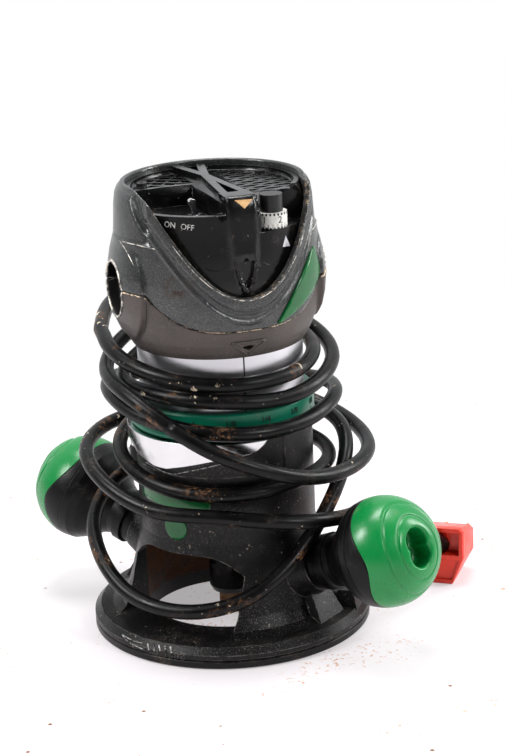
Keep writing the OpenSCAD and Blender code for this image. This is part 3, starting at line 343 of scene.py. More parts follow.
# each material's colour, shader values and layers
LOOKS = {
    "cast_black": ((11, 11, 12), {"rough": 0.3, "spec": 0.22, "edge": 0.0008}, [
        (tint, (35, 5), 0.4, 0.75, 0.5, (26, 25, 26)), (grain, (1100, 3, 0.6), 0.8, 0.00022),
        (grain, (140, 3), 0.12, 0.0005), (dull, (50, 4), 0.35, 0.7, 0.46),
        (worn_edges, (168, 164, 158), 0.0007, 0.7), (specked, (150, 138, 124), 330, 0.2, 0.7),
        (pale_grain, (128, 124, 120)), (dusted, (104, 92, 80), 0.1, 45), (caked_window, (158, 102, 64))]),
    "plate_black": ((12, 12, 13), {"rough": 0.36, "spec": 0.24, "edge": 0.0006}, [
        (grain, (600, 3), 0.2, 0.0002), (worn_edges, (120, 116, 112), 0.0006, 0.5),
        (dusted, (140, 120, 100), 0.5, 50)]),
    "steel": ((166, 166, 170), {"rough": 0.32, "metal": 1, "edge": 0.0003}, [
        (tint, (260, 4), 0.45, 0.7, 0.6, (104, 100, 98)), (dull, (300, 3), 0.3, 0.7, 0.5),
        (grain, (700, 2), 0.15, 0.0001)]),
    "screw_dark": ((70, 68, 68), {"rough": 0.4, "metal": 0.9, "edge": 0.0003}, [
        (tint, (260, 4), 0.45, 0.7, 0.6, (40, 38, 38)), (grain, (700, 2), 0.15, 0.0001),
        (dusted, (110, 96, 84), 0.4, 120)]),
    "grip_rubber": ((7, 7, 8), {"rough": 0.32, "spec": 0.2, "edge": 0.0008}, [
        (grain, (1100, 3), 0.25, 0.0002), (dull, (70, 4), 0.35, 0.7, 0.48),
        (worn_edges, (70, 68, 68), 0.0007, 0.4), (dusted, (96, 90, 84), 0.3, 55)]),
    "knob_green": ((2, 122, 56), {"rough": 0.24, "spec": 0.42}, [
        (tint, (40, 4), 0.45, 0.75, 0.5, (2, 104, 47)), (grain, (1300, 3, 0.6), 0.3, 0.00012),
        (dull, (60, 5), 0.4, 0.7, 0.4), (specked, (60, 110, 70), 420, 0.14, 0.5),
        (specked, (120, 168, 130), 300, 0.12, 0.4), (dusted, (110, 120, 84), 0.15, 60)]),
    "ring_green": ((8, 104, 78), {"rough": 0.34, "spec": 0.3, "edge": 0.0004}, [
        (tint, (60, 4), 0.45, 0.75, 0.6, (8, 84, 66)), (grain, (900, 3), 0.12, 0.0002),
        (dusted, (120, 120, 96), 0.3, 60)]),
    "lever_chrome": ((214, 214, 216), {"rough": 0.14, "metal": 1, "edge": 0.0006}, [
        (tint, (90, 4), 0.55, 0.8, 0.5, (150, 148, 146)), (dull, (120, 4), 0.4, 0.7, 0.26),
        (specked, (70, 62, 56), 260, 0.14, 0.7)]),
    "can_aluminium": ((208, 208, 212), {"rough": 0.3, "metal": 1, "edge": 0.0004}, [
        (grain, (30, 2, 0.55, (1, 1, 90)), 0.15, 0.00003), (dull, (40, 4, 0.55, (1, 1, 20)), 0.35, 0.7, 0.36),
        (specked, (120, 112, 104), 240, 0.12, 0.5), (index_groove, (26, 25, 25))]),
    "lamination": ((110, 108, 106), {"rough": 0.5, "metal": 0.9}, [
        (grain, (10, 2, 0.55, (1, 1, 220)), 0.4, 0.0004), (tint, (90, 4), 0.5, 0.7, 0.6, (84, 72, 62))]),
    "copper": ((176, 98, 62), {"rough": 0.35, "metal": 1}, [
        (grain, (8, 1, 0.55, (1, 1, 200)), 0.6, 0.0005), (tint, (150, 4), 0.5, 0.7, 0.5, (120, 66, 44))]),
    "frame_black": ((18, 18, 20), {"rough": 0.45, "edge": 0.0004}, [
        (grain, (700, 3), 0.2, 0.0002), (dull, (80, 4), 0.4, 0.7, 0.6), (dusted, (110, 92, 76), 0.35, 70)]),
    "brass": ((196, 160, 92), {"rough": 0.3, "metal": 1, "edge": 0.0003}, [
        (tint, (160, 4), 0.5, 0.7, 0.5, (150, 116, 62)), (dull, (160, 3), 0.4, 0.7, 0.45)]),
    "carbon": ((38, 37, 37), {"rough": 0.6}, [
        (grain, (900, 4), 0.4, 0.0002), (tint, (300, 4), 0.5, 0.7, 0.5, (60, 58, 58))]),
    "housing_grey": ((62, 63, 63), {"rough": 0.24, "metal": 0.6, "edge": 0.0007}, [
        (tint, (1700, 2, 0.6), 0.48, 0.7, 0.6, (122, 123, 122)), (tint, (28, 4), 0.45, 0.75, 0.5, (44, 45, 47)),
        (grain, (1500, 2), 0.2, 0.00012), (dull, (45, 5), 0.35, 0.7, 0.33), (scratched, (150, 148, 144), 0.4),
        (specked, (150, 140, 128), 240, 0.12, 0.5), (housing_lines, (190, 168, 140)),
        # the last layer is painted shade inside the brush ports
        (left_smears, (58, 44, 36)), (dusted, (112, 98, 84), 0.2, 40), (painted_port_shade, (16, 15, 15))]),
    "housing_dusty": ((60, 56, 54), {"rough": 0.42, "metal": 0.35, "edge": 0.0005}, [
        (tint, (1500, 2, 0.6), 0.5, 0.7, 0.6, (98, 92, 88)), (tint, (30, 5), 0.35, 0.7, 0.7, (82, 72, 67)),
        (grain, (1200, 2), 0.2, 0.00015), (dull, (45, 5), 0.35, 0.7, 0.65),
        (specked, (140, 128, 118), 350, 0.2, 0.6), (housing_lines, (176, 158, 136)),
        # the last layer is painted shade inside the brush ports
        (dusted, (128, 110, 98), 0.5, 35), (painted_port_shade, (16, 15, 15))]),
    "cover_black": ((7, 7, 8), {"rough": 0.17, "spec": 0.36, "edge": 0.0003}, [
        (tint, (30, 4), 0.5, 0.8, 0.4, (15, 15, 16)), (grain, (500, 2), 0.06, 0.0002),
        (dull, (60, 5), 0.4, 0.7, 0.3), (worn_edges, (84, 82, 84), 0.0003, 0.4, 50),
        (scratched, (60, 58, 58), 0.4, 40), (specked, (140, 128, 116), 260, 0.12, 0.6),
        (dusted, (110, 96, 82), 0.15, 60)]),
    "dial_white": ((206, 206, 200), {"rough": 0.4, "edge": 0.0004}, [
        (tint, (260, 4), 0.5, 0.75, 0.6, (150, 146, 138)), (grain, (800, 2), 0.1, 0.0001),
        (black_barrel, (9, 9, 10)), (specked, (60, 56, 52), 420, 0.14, 0.7)]),
    "nut_black": ((18, 18, 20), {"rough": 0.35, "metal": 0.7, "edge": 0.0005}, [
        (tint, (160, 4), 0.5, 0.7, 0.6, (54, 50, 48)), (grain, (500, 2), 0.2, 0.0002),
        (dusted, (110, 90, 70), 0.35, 80)]),
    "cutter_steel": ((110, 84, 60), {"rough": 0.4, "metal": 0.8, "edge": 0.0003}, [
        (tint, (220, 4), 0.45, 0.65, 0.8, (62, 44, 34)), (grain, (500, 3), 0.3, 0.0002)]),
    "cord_rubber": ((5, 5, 6), {"rough": 0.27, "spec": 0.2}, [
        (tint, (60, 4), 0.45, 0.75, 0.5, (12, 12, 13)), (grain, (900, 2), 0.15, 0.00015),
        (grain, (130, 3), 0.12, 0.0006), (dull, (90, 4), 0.35, 0.7, 0.42),
        (specked, (150, 136, 118), 320, 0.16, 0.7), (dusted, (108, 96, 84), 0.3, 38),
        (splashed, (206, 190, 164), (128, 92, 64))]),
    "plug_orange": ((224, 50, 26), {"rough": 0.26, "spec": 0.4, "edge": 0.0008}, [
        (tint, (60, 4), 0.45, 0.75, 0.5, (196, 46, 28)), (grain, (700, 2), 0.1, 0.0002),
        (dull, (80, 4), 0.35, 0.7, 0.5), (specked, (110, 36, 24), 260, 0.12, 0.6)]),
    "green_plate": ((2, 88, 38), {"rough": 0.18, "spec": 0.4}, [
        (tint, (90, 4), 0.45, 0.75, 0.6, (2, 66, 30)), (grain, (500, 2), 0.08, 0.0002),
        (scratched, (100, 164, 124), 0.4, 60)]),
    "mark_black": ((12, 12, 12), {"rough": 0.6}, [(tint, (300, 3), 0.5, 0.7, 0.4, (34, 32, 32))]),
    "mark_white": ((180, 180, 176), {"rough": 0.6}, [(tint, (500, 4, 0.7), 0.5, 0.62, 0.9, (40, 40, 40))]),
    "mark_grey": ((196, 194, 200), {"rough": 0.5}, [(tint, (400, 3), 0.5, 0.7, 0.6, (150, 148, 154))]),
    # paint rubbed bright on the housing's edges, with a painted highlight along the side panel's crease and the pod's
    # upper edge; rubbed paint and painted highlight on the casting's raised forms; chips along the seam, with a painted
    # highlight along the panel's foot
    "rim_wear_and_highlight": ((86, 85, 84), {"rough": 0.35, "metal": 0.5}, [
        (tint, (260, 4, 0.7), 0.44, 0.56, 1, (214, 208, 198)), (grain, (900, 3), 0.3, 0.0002)]),
    "casting_wear_and_highlight": ((24, 24, 25), {"rough": 0.3, "metal": 0.4}, [
        (tint, (330, 4, 0.7), 0.42, 0.54, 1, (190, 188, 186)), (grain, (900, 3), 0.3, 0.0002)]),
    "chips_and_highlight": ((52, 49, 47), {"rough": 0.6}, [
        (tint, (420, 4, 0.75), 0.42, 0.54, 1, (222, 200, 168)), (grain, (900, 3), 0.3, 0.0002)]),
    "wood_tan": ((208, 168, 116), {"rough": 0.7}, [(tint, (200, 3), 0.4, 0.7, 0.7, (176, 132, 84))]),
}


def finished(name, colour, values, layers):
    m = Mat(name, colour, **values)
    for layer, *numbers in layers:
        layer(m, *numbers)
    return m.done()


MATS = {name: finished(name, *look) for name, look in LOOKS.items()}
SLOT_OF = {s["node"]: s["material_slot"] for s in frame["record"]["subparts"]}
OWN_MATERIAL = {"housing_screws": "screw_dark"}


def dress_nodes():
    for name, obj in frame["nodes"].items():
        m = MATS[OWN_MATERIAL.get(name, SLOT_OF[name])]
        if obj.material_slots:
            for s in obj.material_slots:
                s.material = m
        else:
            obj.data.materials.append(m)


dress_nodes()


# helpers for pieces
def new_piece(name, mesh, body, material, replace=()):
    mesh.materials.append(MATS[material])
    obj = placed(name, mesh)
    if body:
        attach(obj, body)
    if replace:
        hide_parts(*replace)
    return obj


def smoothed(mesh):
    mesh.polygons.foreach_set("use_smooth", [True] * len(mesh.polygons))
    return mesh


def mesh_of(name, verts, faces, smooth=True):
    mesh = bpy.data.meshes.new(name)
    mesh.from_pydata([tuple(v) for v in verts], [], faces)
    mesh.update()
    return smoothed(mesh) if smooth else mesh


def evaluated(obj):
    """The mesh of an object with its modifiers applied."""
    return bpy.data.meshes.new_from_object(obj.evaluated_get(bpy.context.evaluated_depsgraph_get()))


def motor_point(x, y, z):
    """A point of the motor's own frame, in mm, in the row frame, in metres."""
    c, s = math.cos(MOTOR_TURN), math.sin(MOTOR_TURN)
    return Vector(((x * c - y * s) * MM, (x * s + y * c) * MM, z * MM))


def polar(angle, r, z, turn=0.0):
    """Angle from -Y towards +X in degrees, radius and height in mm."""
    a = math.radians(angle) + turn
    return Vector((r * math.sin(a) * MM, -r * math.cos(a) * MM, z * MM))


def surface_of(*names):
    """The surface of some objects of the model, to lay pieces on."""
    verts, faces = [], []
    for name in names:
        mesh = (frame["nodes"].get(name) or bpy.data.objects[name]).data
        start = len(verts)
        verts += [v.co.copy() for v in mesh.vertices]
        faces += [tuple(start + i for i in p.vertices) for p in mesh.polygons]
    return BVHTree.FromPolygons(verts, faces)


def seen_at(surface, u, v):
    """The point and normal of a surface that the photograph shows at a pixel."""
    right, up, ahead = camera_axes()
    focal = LENS / SENSOR * PHOTO_SIZE[1]
    across, down = (u - PHOTO_SIZE[0] / 2) / focal, (v - PHOTO_SIZE[1] / 2) / focal
    towards = (ahead + right * across - up * down).normalized()
    place, normal, _, _ = surface.ray_cast(CAMERA_PLACE, towards)
    if normal.dot(towards) > 0:
        normal = -normal
    return place, normal


def reach_at(surface, angle, z, turn=0.0):
    """The radius in mm of a surface at an angle and a height, or just below, seen from outside."""
    place = None
    while place is None:
        start = polar(angle, 120, z, turn)
        place = surface.ray_cast(start, Vector((-start.x, -start.y, 0)).normalized(), 0.1)[0]
        z -= 0.3
    return math.hypot(place.x, place.y) / MM


# the lead: heights and radii in mm at the angles of STATIONS, one row for each turn
LEAD_R = 4.0
LEAD_STEP = 4
STATIONS = [-90, -45, 0, 45, 90, 180]
TURN_Z = [
    [162, 152.5, 147.5, 147.5, 151, 154],
    [140, 140.5, 139, 137, 145, 162],
    [147, 139.5, 113.5, 94, 93, 115],
    [134, 128, 122.5, 121, 126, 114],
    [100, 91, 88, 89, 90, 88],
    [57, 31.5, 32.5, 58.5, 95, 102],
    [97, 81.5, 78, 71],
]
TURN_R = [
    [61.5, 53.5, 50, 50, 50, 54],
    [52.5, 51, 52, 54, 60, 62],
    [61.2, 63.2, 65, 67, 78, 70],
    [61.5, 56.3, 54.8, 55, 61, 60],
    [57, 53, 53, 53, 56.5, 58],
    [74, 71, 68, 60.5, 66, 62],
    [75.5, 64, 59.5, 71],
]
WINDING_END = 6 * 360 + 72
KEYS = [
    (STATIONS[i] + 360 * t, TURN_R[t][i], TURN_Z[t][i])
    for t in range(len(TURN_Z))
    for i in range(len(TURN_Z[t]))
] + [(WINDING_END, 73, 64)]


def rise(i, c):
    """How steep a column of KEYS is between two rows."""
    return (KEYS[i + 1][c] - KEYS[i][c]) / (KEYS[i + 1][0] - KEYS[i][0])


def slope(i, c):
    """How steep a column of KEYS is at a row."""
    if i == 0:
        return rise(0, c)
    if i == len(KEYS) - 1:
        return rise(i - 1, c)
    w0 = KEYS[i + 1][0] - KEYS[i][0]
    w1 = KEYS[i][0] - KEYS[i - 1][0]
    return (rise(i - 1, c) * w0 + rise(i, c) * w1) / (w0 + w1)


def winding_point(a):
    """The lead's point at an angle that counts on from turn to turn, in the photograph's frame."""
    i = max(k for k in range(len(KEYS) - 1) if k == 0 or KEYS[k][0] <= a)
    h = KEYS[i + 1][0] - KEYS[i][0]
    t = (a - KEYS[i][0]) / h
    t2, t3 = t * t, t * t * t
    r, z = (
        (2 * t3 - 3 * t2 + 1) * KEYS[i][c] + (t3 - 2 * t2 + t) * h * slope(i, c)
        + (3 * t2 - 2 * t3) * KEYS[i + 1][c] + (t3 - t2) * h * slope(i + 1, c)
        for c in (1, 2)
    )
    return polar(a + VIEW_TURN, r, z)


def winding_path(a, b):
    """The lead's path between two of its angles, with a point about every 5 degrees."""
    n = max(1, round((b - a) / 5.0))
    return [winding_point(a + (b - a) * k / n) for k in range(n + 1)]


def curve_between(a, b, c, d, n):
    """Points from b on to c of the smooth curve through a, b, c and d."""
    out = []
    for k in range(n):
        t = k / n
        bend = (2 * a - 5 * b + 4 * c - d) * t * t + (3 * b - a - 3 * c + d) * t ** 3
        out.append(0.5 * (2 * b + (c - a) * t + bend))
    return out


def smooth_path(points, n):
    """Points smoothed by a curve that passes through them."""
    out = []
    for i in range(len(points) - 1):
        out += curve_between(points[max(i - 1, 0)], points[i], points[i + 1], points[min(i + 2, len(points) - 1)], n)
    return out + [points[-1]]


def even_path(points, step):
    """The same line with points at even steps."""
    lengths = [0.0]
    for p, q in zip(points, points[1:]):
        lengths.append(lengths[-1] + (q - p).length)
    n = max(2, round(lengths[-1] / step))
    out, j = [], 0
    for k in range(n + 1):
        s = lengths[-1] * k / n
        while j < len(points) - 2 and lengths[j + 1] < s:
            j += 1
        span = lengths[j + 1] - lengths[j]
        out.append(points[j].lerp(points[j + 1], 0 if span == 0 else min(1, (s - lengths[j]) / span)))
    return out


def round_faces(rows, columns, turned=False):
    """Faces of a grid whose rows go round."""
    faces = []
    for i in range(rows - 1):
        for k in range(columns):
            a, b = i * columns + k, i * columns + (k + 1) % columns
            quad = (a, b, b + columns, a + columns)
            faces.append(quad[::-1] if turned else quad)
    return faces


def tube(name, points, radii, material, body=None, sides=16, replace=()):
    """A round tube along points, with one radius or a radius at each point."""
    n = len(points)
    if not isinstance(radii, list):
        radii = [radii] * n
    verts = []
    up = None
    for i, p in enumerate(points):
        t = (points[min(i + 1, n - 1)] - points[max(i - 1, 0)]).normalized()
        if up is None:
            up = t.cross(Vector((0, 0, 1))).normalized()
        up = (up - t * up.dot(t)).normalized()
        v = t.cross(up)
        for k in range(sides):
            a = 2 * math.pi * k / sides
            verts.append(p + (up * math.cos(a) + v * math.sin(a)) * radii[i])
    faces = round_faces(n, sides)
    faces += [tuple(range(sides - 1, -1, -1)), tuple((n - 1) * sides + k for k in range(sides))]
    mesh = mesh_of(name, verts, faces)
    for cap in mesh.polygons[-2:]:
        cap.use_smooth = False
    return new_piece(name, mesh, body, material, replace)


RELIEF_DIR = Vector((-0.924, -0.097, -0.37)).normalized()
RELIEF_BASE = V(-29, 46.2, 187.7)
RELIEF_LEN = 22
RELIEF_TIP = RELIEF_BASE + RELIEF_DIR * RELIEF_LEN * MM
RELIEF_IN = 10
RELIEF_R, RELIEF_TAPER = 6.2, 1.75
RELIEF_PLAIN = 5
RELIEF_RING, RELIEF_PITCH = 0.45, 1.7
BOOT_DIR = Vector((-0.05, 0.8, -0.6)).normalized()
BOOT_END = V(77.4, 96.9, 20.5)
BOOT_LEN = 20
BOOT_START = BOOT_END - BOOT_DIR * BOOT_LEN * MM
# the lead's stretch that lies over the clamp lever is a piece of its own
OVER_LEVER = (2 * 360 - 25, 2 * 360 + 225)


def make_cords():
    head = (winding_point(-75) - winding_point(-90)).normalized()
    lead_end = winding_point(-90) - head * 2 * LEAD_R * MM
    lead = smooth_path([
        RELIEF_TIP, V(-64.1, 38, 176.3), V(-74.8, 24.7, 172.6), V(-77.5, 7.8, 169), V(-71.4, -8.6, 166.5), lead_end,
    ], 10)
    foot = (winding_point(WINDING_END) - winding_point(WINDING_END - 15)).normalized()
    tail_start = winding_point(WINDING_END) + foot * 2 * LEAD_R * MM
    tail = smooth_path([
        tail_start, V(70.4, 46, 54.6), V(74, 57.5, 48.6), V(77, 69.3, 41.2), BOOT_START,
    ], 10)
    step = LEAD_STEP * MM
    path_a = even_path(lead[:-1] + winding_path(-90, OVER_LEVER[0] + 2), step)
    path_b = even_path(winding_path(OVER_LEVER[0], OVER_LEVER[1]), step)
    path_c = even_path(winding_path(OVER_LEVER[1] - 2, WINDING_END) + tail, step)
    r = LEAD_R * MM

    # an end is let into the next stretch
    let_in = [r * 0.97]
    a = tube("lead_upper_turns", path_a, [r] * (len(path_a) - 1) + let_in, "cord_rubber", sides=24)
    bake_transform(a)
    b = tube("lead_over_lever", path_b, r, "cord_rubber", sides=24)
    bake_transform(b)
    c = tube("lead_lower_turns", path_c, let_in + [r] * (len(path_c) - 1), "cord_rubber", sides=24)
    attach(c, "base")
    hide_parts("cord_lead")
    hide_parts("cord_winding", "cord_tail")

    # tapered relief with rings moulded into it
    n = 44
    reach = [-RELIEF_IN + (RELIEF_IN + RELIEF_LEN) * k / n for k in range(n + 1)]
    radii = [RELIEF_R * MM] * (n + 1)
    for k, s in enumerate(reach):
        out = s - RELIEF_PLAIN
        if out >= 0:
            ring = RELIEF_RING * (int(out / RELIEF_PITCH) % 2)
            radii[k] = (RELIEF_R - RELIEF_TAPER * out / (RELIEF_LEN - RELIEF_PLAIN) - ring) * MM
    relief = tube("lead_relief", [RELIEF_BASE + RELIEF_DIR * s * MM for s in reach], radii, "cord_rubber",
                  "motor", 20, ("strain_relief",))

    # boot that runs into the plug
    n = 24
    points = [BOOT_START + BOOT_DIR * (BOOT_LEN * k / n) * MM for k in range(n + 1)]
    radii = [(4.15 + 1.2 * min(1, (k / n) * 1.6) ** 0.7) * MM for k in range(n + 1)]
    boot = tube("plug_lead_boot", points, radii, "cord_rubber", "base", 24, ("plug_boot",))


make_cords()


# knobs
GRIP_START = 60.8
HANDLE_TILT = math.radians(20)
HANDLE_Z = 41.0
BALL_U = 43.7
BALL_R = 29.5
BALL_DEPTH = 28
FACE_TURN = math.radians(12)
FACE_AT = 26
RECESS_FLOOR = 13
LOBE_R = 6.9
LOBE_REACH = 3.6
LIP = 1.6
CUP_U = 38.2
# the cup's rim along the handle, how much further it runs at the front and back, and over how many degrees
CUP_RIM, CUP_RISE, CUP_SPREAD = 41.6, 8.6, 33
# half sizes of the two oval grooves round the recess
GROOVES = ((17.3, 13.0), (24.6, 18.8))
GROOVE_DEPTH = 0.6
GROOVE_HALF = 0.5


def on_handle(side, p):
    """A point beside the handle's axis, in mm: x down, y along +Y and z outward, in the row frame."""
    c, s = math.cos(HANDLE_TILT), math.sin(HANDLE_TILT)
    return Vector((side * (GRIP_START + p[0] * s + p[2] * c) * MM, p[1] * MM, (HANDLE_Z - p[0] * c + p[2] * s) * MM))


def on_ball(p):
    """A point given on the turned ball, in the handle's own axes."""
    c, s = math.cos(FACE_TURN), math.sin(FACE_TURN)
    return (p[0], p[1] * c - p[2] * s, BALL_U + p[1] * s + p[2] * c)


def smooth_min(a, b, k):
    return -k * math.log(math.exp(-a / k) + math.exp(-b / k))


def recess_reach(psi):
    """Reach of the peanut-shaped recess in a direction."""
    return LOBE_REACH * abs(math.cos(psi)) + math.sqrt(LOBE_R ** 2 - (LOBE_REACH * math.sin(psi)) ** 2)


def ball_point(psi, phi):
    """A point on the cap, with the flat face and the grooves."""
    r, z = BALL_R * math.cos(phi), BALL_DEPTH * math.sin(phi)
    x, y = r * math.cos(psi), r * math.sin(psi)
    normal = Vector((x / BALL_R ** 2, y / BALL_R ** 2, z / BALL_DEPTH ** 2)).normalized()
    depth = 0.0
    for a, b in GROOVES:
        off = (math.hypot(x / a, y / b) - 1) * min(a, b)
        depth += GROOVE_DEPTH * math.exp(-(off / GROOVE_HALF) ** 2) if z > 0 else 0.0
    return Vector((x, y, smooth_min(z, FACE_AT, 0.5))) - normal * depth


def past_cup(p):
    """How far a point of the ball is past the black cup's rim, which runs further out at the front and back."""
    x, y, u = on_ball(p)
    angle = math.degrees(math.atan2(y, x))
    return u - (CUP_RIM + CUP_RISE * math.exp(-((abs(angle) - 90) / CUP_SPREAD) ** 2))


def past_grip(p):
    return on_ball(p)[2] - CUP_U


def phi_where(psi, past):
    """The latitude on the ball where a line is crossed."""
    low, high = math.radians(-40), math.radians(50)
    for _ in range(24):
        mid = (low + high) / 2
        if past(ball_point(psi, mid)) > 0:
            high = mid
        else:
            low = mid
    return high


AROUND = 168
PSIS = [2 * math.pi * k / AROUND for k in range(AROUND)]


def knob_piece(side, name, rings, material, replace=()):
    """A piece of the handle from closed rings of points on the ball."""
    verts = [on_handle(side, on_ball(p)) for r in rings for p in r]
    faces = round_faces(len(rings), AROUND, side < 0)
    return new_piece(name, mesh_of(name, verts, faces), "base", material, replace)


def rings_between(starts, ends, steps):
    """Rings on the ball from one latitude in each direction to another."""
    return [[ball_point(q, a + (b - a) * k / steps) for q, a, b in zip(PSIS, starts, ends)] for k in range(steps + 1)]


def knob_cap(side, name, node):
    def ring(out, z):
        """The recess's outline grown by some mm, at a depth."""
        reaches = [max(0.0, recess_reach(q) + out) for q in PSIS]
        return [Vector((r * math.cos(q), r * math.sin(q), z)) for q, r in zip(PSIS, reaches)]

    # floor, wall and rounded lip of the recess
    rings = [ring(-99, RECESS_FLOOR), ring(-2.2, RECESS_FLOOR), ring(-0.6, RECESS_FLOOR + 0.5)]
    rings += [ring(0, z) for z in (RECESS_FLOOR + 2, 17, 20, 22.5)]
    for k in range(7):
        a = math.pi / 2 * k / 6
        rings.append(ring(LIP * (1 - math.cos(a)), FACE_AT - 0.35 - LIP * (1 - math.sin(a))))
    starts = [math.acos((recess_reach(q) + LIP + 0.4) / BALL_R) for q in PSIS]
    ends = [phi_where(q, past_cup) for q in PSIS]
    rings += rings_between(starts, ends, 132)
    # the rim turns in against the cup
    rings.append([p * 0.975 for p in rings[-1]])
    knob_piece(side, name, rings, "knob_green", (node,))


def knob_cup(side, name):
    """The black cup that the ball sits in, from the grip up to its wavy rim."""
    seam = math.radians(0.6)
    starts = [phi_where(q, past_cup) - seam for q in PSIS]
    ends = [phi_where(q, past_grip) for q in PSIS]
    rings = rings_between(starts, ends, 16)
    rings = [[p * 0.972 for p in rings[0]]] + rings + [[p * 0.95 for p in rings[-1]]]
    knob_piece(side, name, rings, "grip_rubber")


for knob_side, knob_word in ((1, "right"), (-1, "left")):
    knob_cap(knob_side, "knob_cap_" + knob_word, "handle_cap_" + knob_word)
    knob_cup(knob_side, "knob_cup_" + knob_word)


# motor housing
def in_motor(co):
    """Points in metres in the row frame as mm in the motor's own frame."""
    c, s = math.cos(MOTOR_TURN), math.sin(MOTOR_TURN)
    x, y, z = co[:, 0] / MM, co[:, 1] / MM, co[:, 2] / MM
    return x * c + y * s, y * c - x * s, z


def collar_relief(x, y, z):
    """Depth in mm that the collar's hollow and groove go below its plain bands."""
    s = z - (178.5 + 0.0228 * x * x)

    def dip(centre, half):
        return np.exp(-((s - centre) / half) ** 2)

    front = np.clip((-10 - y) / 4, 0, 1) * np.clip((47 - np.abs(x)) / 3, 0, 1)
    return front * (0.7 * dip(2.0, 1.2) - 1.3 * dip(5.4, 1.7) - 0.8 * dip(8.9, 0.65))


VOXEL = 0.7


def moulded(name, node, material, relief=None):
    """A finer copy of a node, with rounded edges and a relief on its outside."""
    mesh = frame["nodes"][node].data.copy()
    mesh.name = name
    mesh.materials.clear()
    obj = placed(name, mesh)
    fine = obj.modifiers.new("fine", "REMESH")
    fine.mode = "VOXEL"
    fine.voxel_size = VOXEL * MM
    soft = obj.modifiers.new("soft", "SMOOTH")
    soft.factor = 0.5
    soft.iterations = 2
    done = evaluated(obj)
    bpy.data.objects.remove(obj)
    if relief:
        n = len(done.vertices)
        co, normal = np.empty(n * 3), np.empty(n * 3)
        done.vertices.foreach_get("co", co)
        done.vertices.foreach_get("normal", normal)
        co, normal = co.reshape(n, 3), normal.reshape(n, 3)
        out = co[:, :2] / np.linalg.norm(co[:, :2], axis=1)[:, None]
        outside = np.clip(((normal[:, :2] * out).sum(axis=1) - 0.3) / 0.3, 0, 1)
        co[:, :2] += out * (outside * relief(*in_motor(co)) * MM)[:, None]
        done.vertices.foreach_set("co", co.ravel())
        done.update()
    return new_piece(name, smoothed(done), "motor", material, (node,))


moulded("housing_upper_shell", "housing_upper", "housing_grey", collar_relief)
moulded("housing_lower_shell", "housing_lower", "housing_dusty")
SHELLS = surface_of("housing_upper_shell", "housing_lower_shell")


# grille in the cover's top
PLATE_TOP = 241.5
PLATE_FOOT = 238.6
FIELD_R = 41.3
PAD = (32.9, 19)
PAD_R = 4.4
GRILLE_TURN = 33
GRILLE_PITCH = 7.0
BAR_STEP = 0.25
BAR_LET_IN = (0.8, 0.6)
BAR_SHORTEST = 2.2


def arc(centre, r, a, b, n):
    return [(centre[0] + r * math.cos(math.radians(a + (b - a) * k / n)),
             centre[1] + r * math.sin(math.radians(a + (b - a) * k / n))) for k in range(n + 1)]


def grille_field(side):
    """Outline of the open field on one side, round the screw's pad; both given as on the right."""
    past_pad = arc(PAD, PAD_R, -13.5, -286.6, 24)
    if side > 0:
        return [(12.2, -22)] + arc((0, 0), FIELD_R, -32.2, 25.8, 30) + past_pad + arc((0, 0), FIELD_R, 34.2, 72.8, 20)
    mirrored = [(6.7, 12.5)] + arc((0, 0), FIELD_R, 17.6, 25.8, 6) + past_pad + arc((0, 0), FIELD_R, 34.2, 77, 20)
    return [(-x, y) for x, y in mirrored + [(8.6, 39.6), (6.8, 32.2)]]


def inside_outline(outline, x, y):
    inside = False
    for (x0, y0), (x1, y1) in zip(outline, outline[1:] + outline[:1]):
        if (y0 > y) != (y1 > y) and x < x0 + (y - y0) / (y1 - y0) * (x1 - x0):
            inside = not inside
    return inside


def prism(outline, low, high):
    """A closed upright prism, in the motor's frame."""
    n = len(outline)
    verts = [motor_point(x, y, z) for z in (low, high) for x, y in outline]
    faces = [tuple(range(n - 1, -1, -1)), tuple(range(n, 2 * n))]
    faces += [(k, (k + 1) % n, (k + 1) % n + n, k + n) for k in range(n)]
    made = bmesh.new()
    built = [made.verts.new(v) for v in verts]
    for f in faces:
        made.faces.new([built[i] for i in f])
    bmesh.ops.recalc_face_normals(made, faces=made.faces)
    return made


def bars_across(outline, turn, pitch, half, top):
    """Prisms of parallel bars that fill a field, their ends let into its edge."""
    along = (math.cos(math.radians(turn)), math.sin(math.radians(turn)))
    beside = (-along[1], along[0])
    out = []
    for k in range(-9, 10):
        start = None
        for i in range(-240, 241):
            t = i * BAR_STEP
            x, y = along[0] * t + beside[0] * k * pitch, along[1] * t + beside[1] * k * pitch
            if inside_outline(outline, x, y):
                start = t if start is None else start
            elif start is not None:
                a, b = start - BAR_LET_IN[0], t + BAR_LET_IN[1]
                if b - a > BAR_SHORTEST:
                    corners = [(a, -half), (b, -half), (b, half), (a, half)]
                    ends = [(along[0] * u + beside[0] * (k * pitch + v), along[1] * u + beside[1] * (k * pitch + v))
                            for u, v in corners]
                    out.append(prism(ends, PLATE_FOOT, top))
                start = None
    return out


def joined(name, parts):
    """One mesh of some separate closed forms."""
    whole = bpy.data.meshes.new(name)
    every = bmesh.new()
    for part in parts:
        part.to_mesh(whole)
        every.from_mesh(whole)
        part.free()
    every.to_mesh(whole)
    every.free()
    return whole


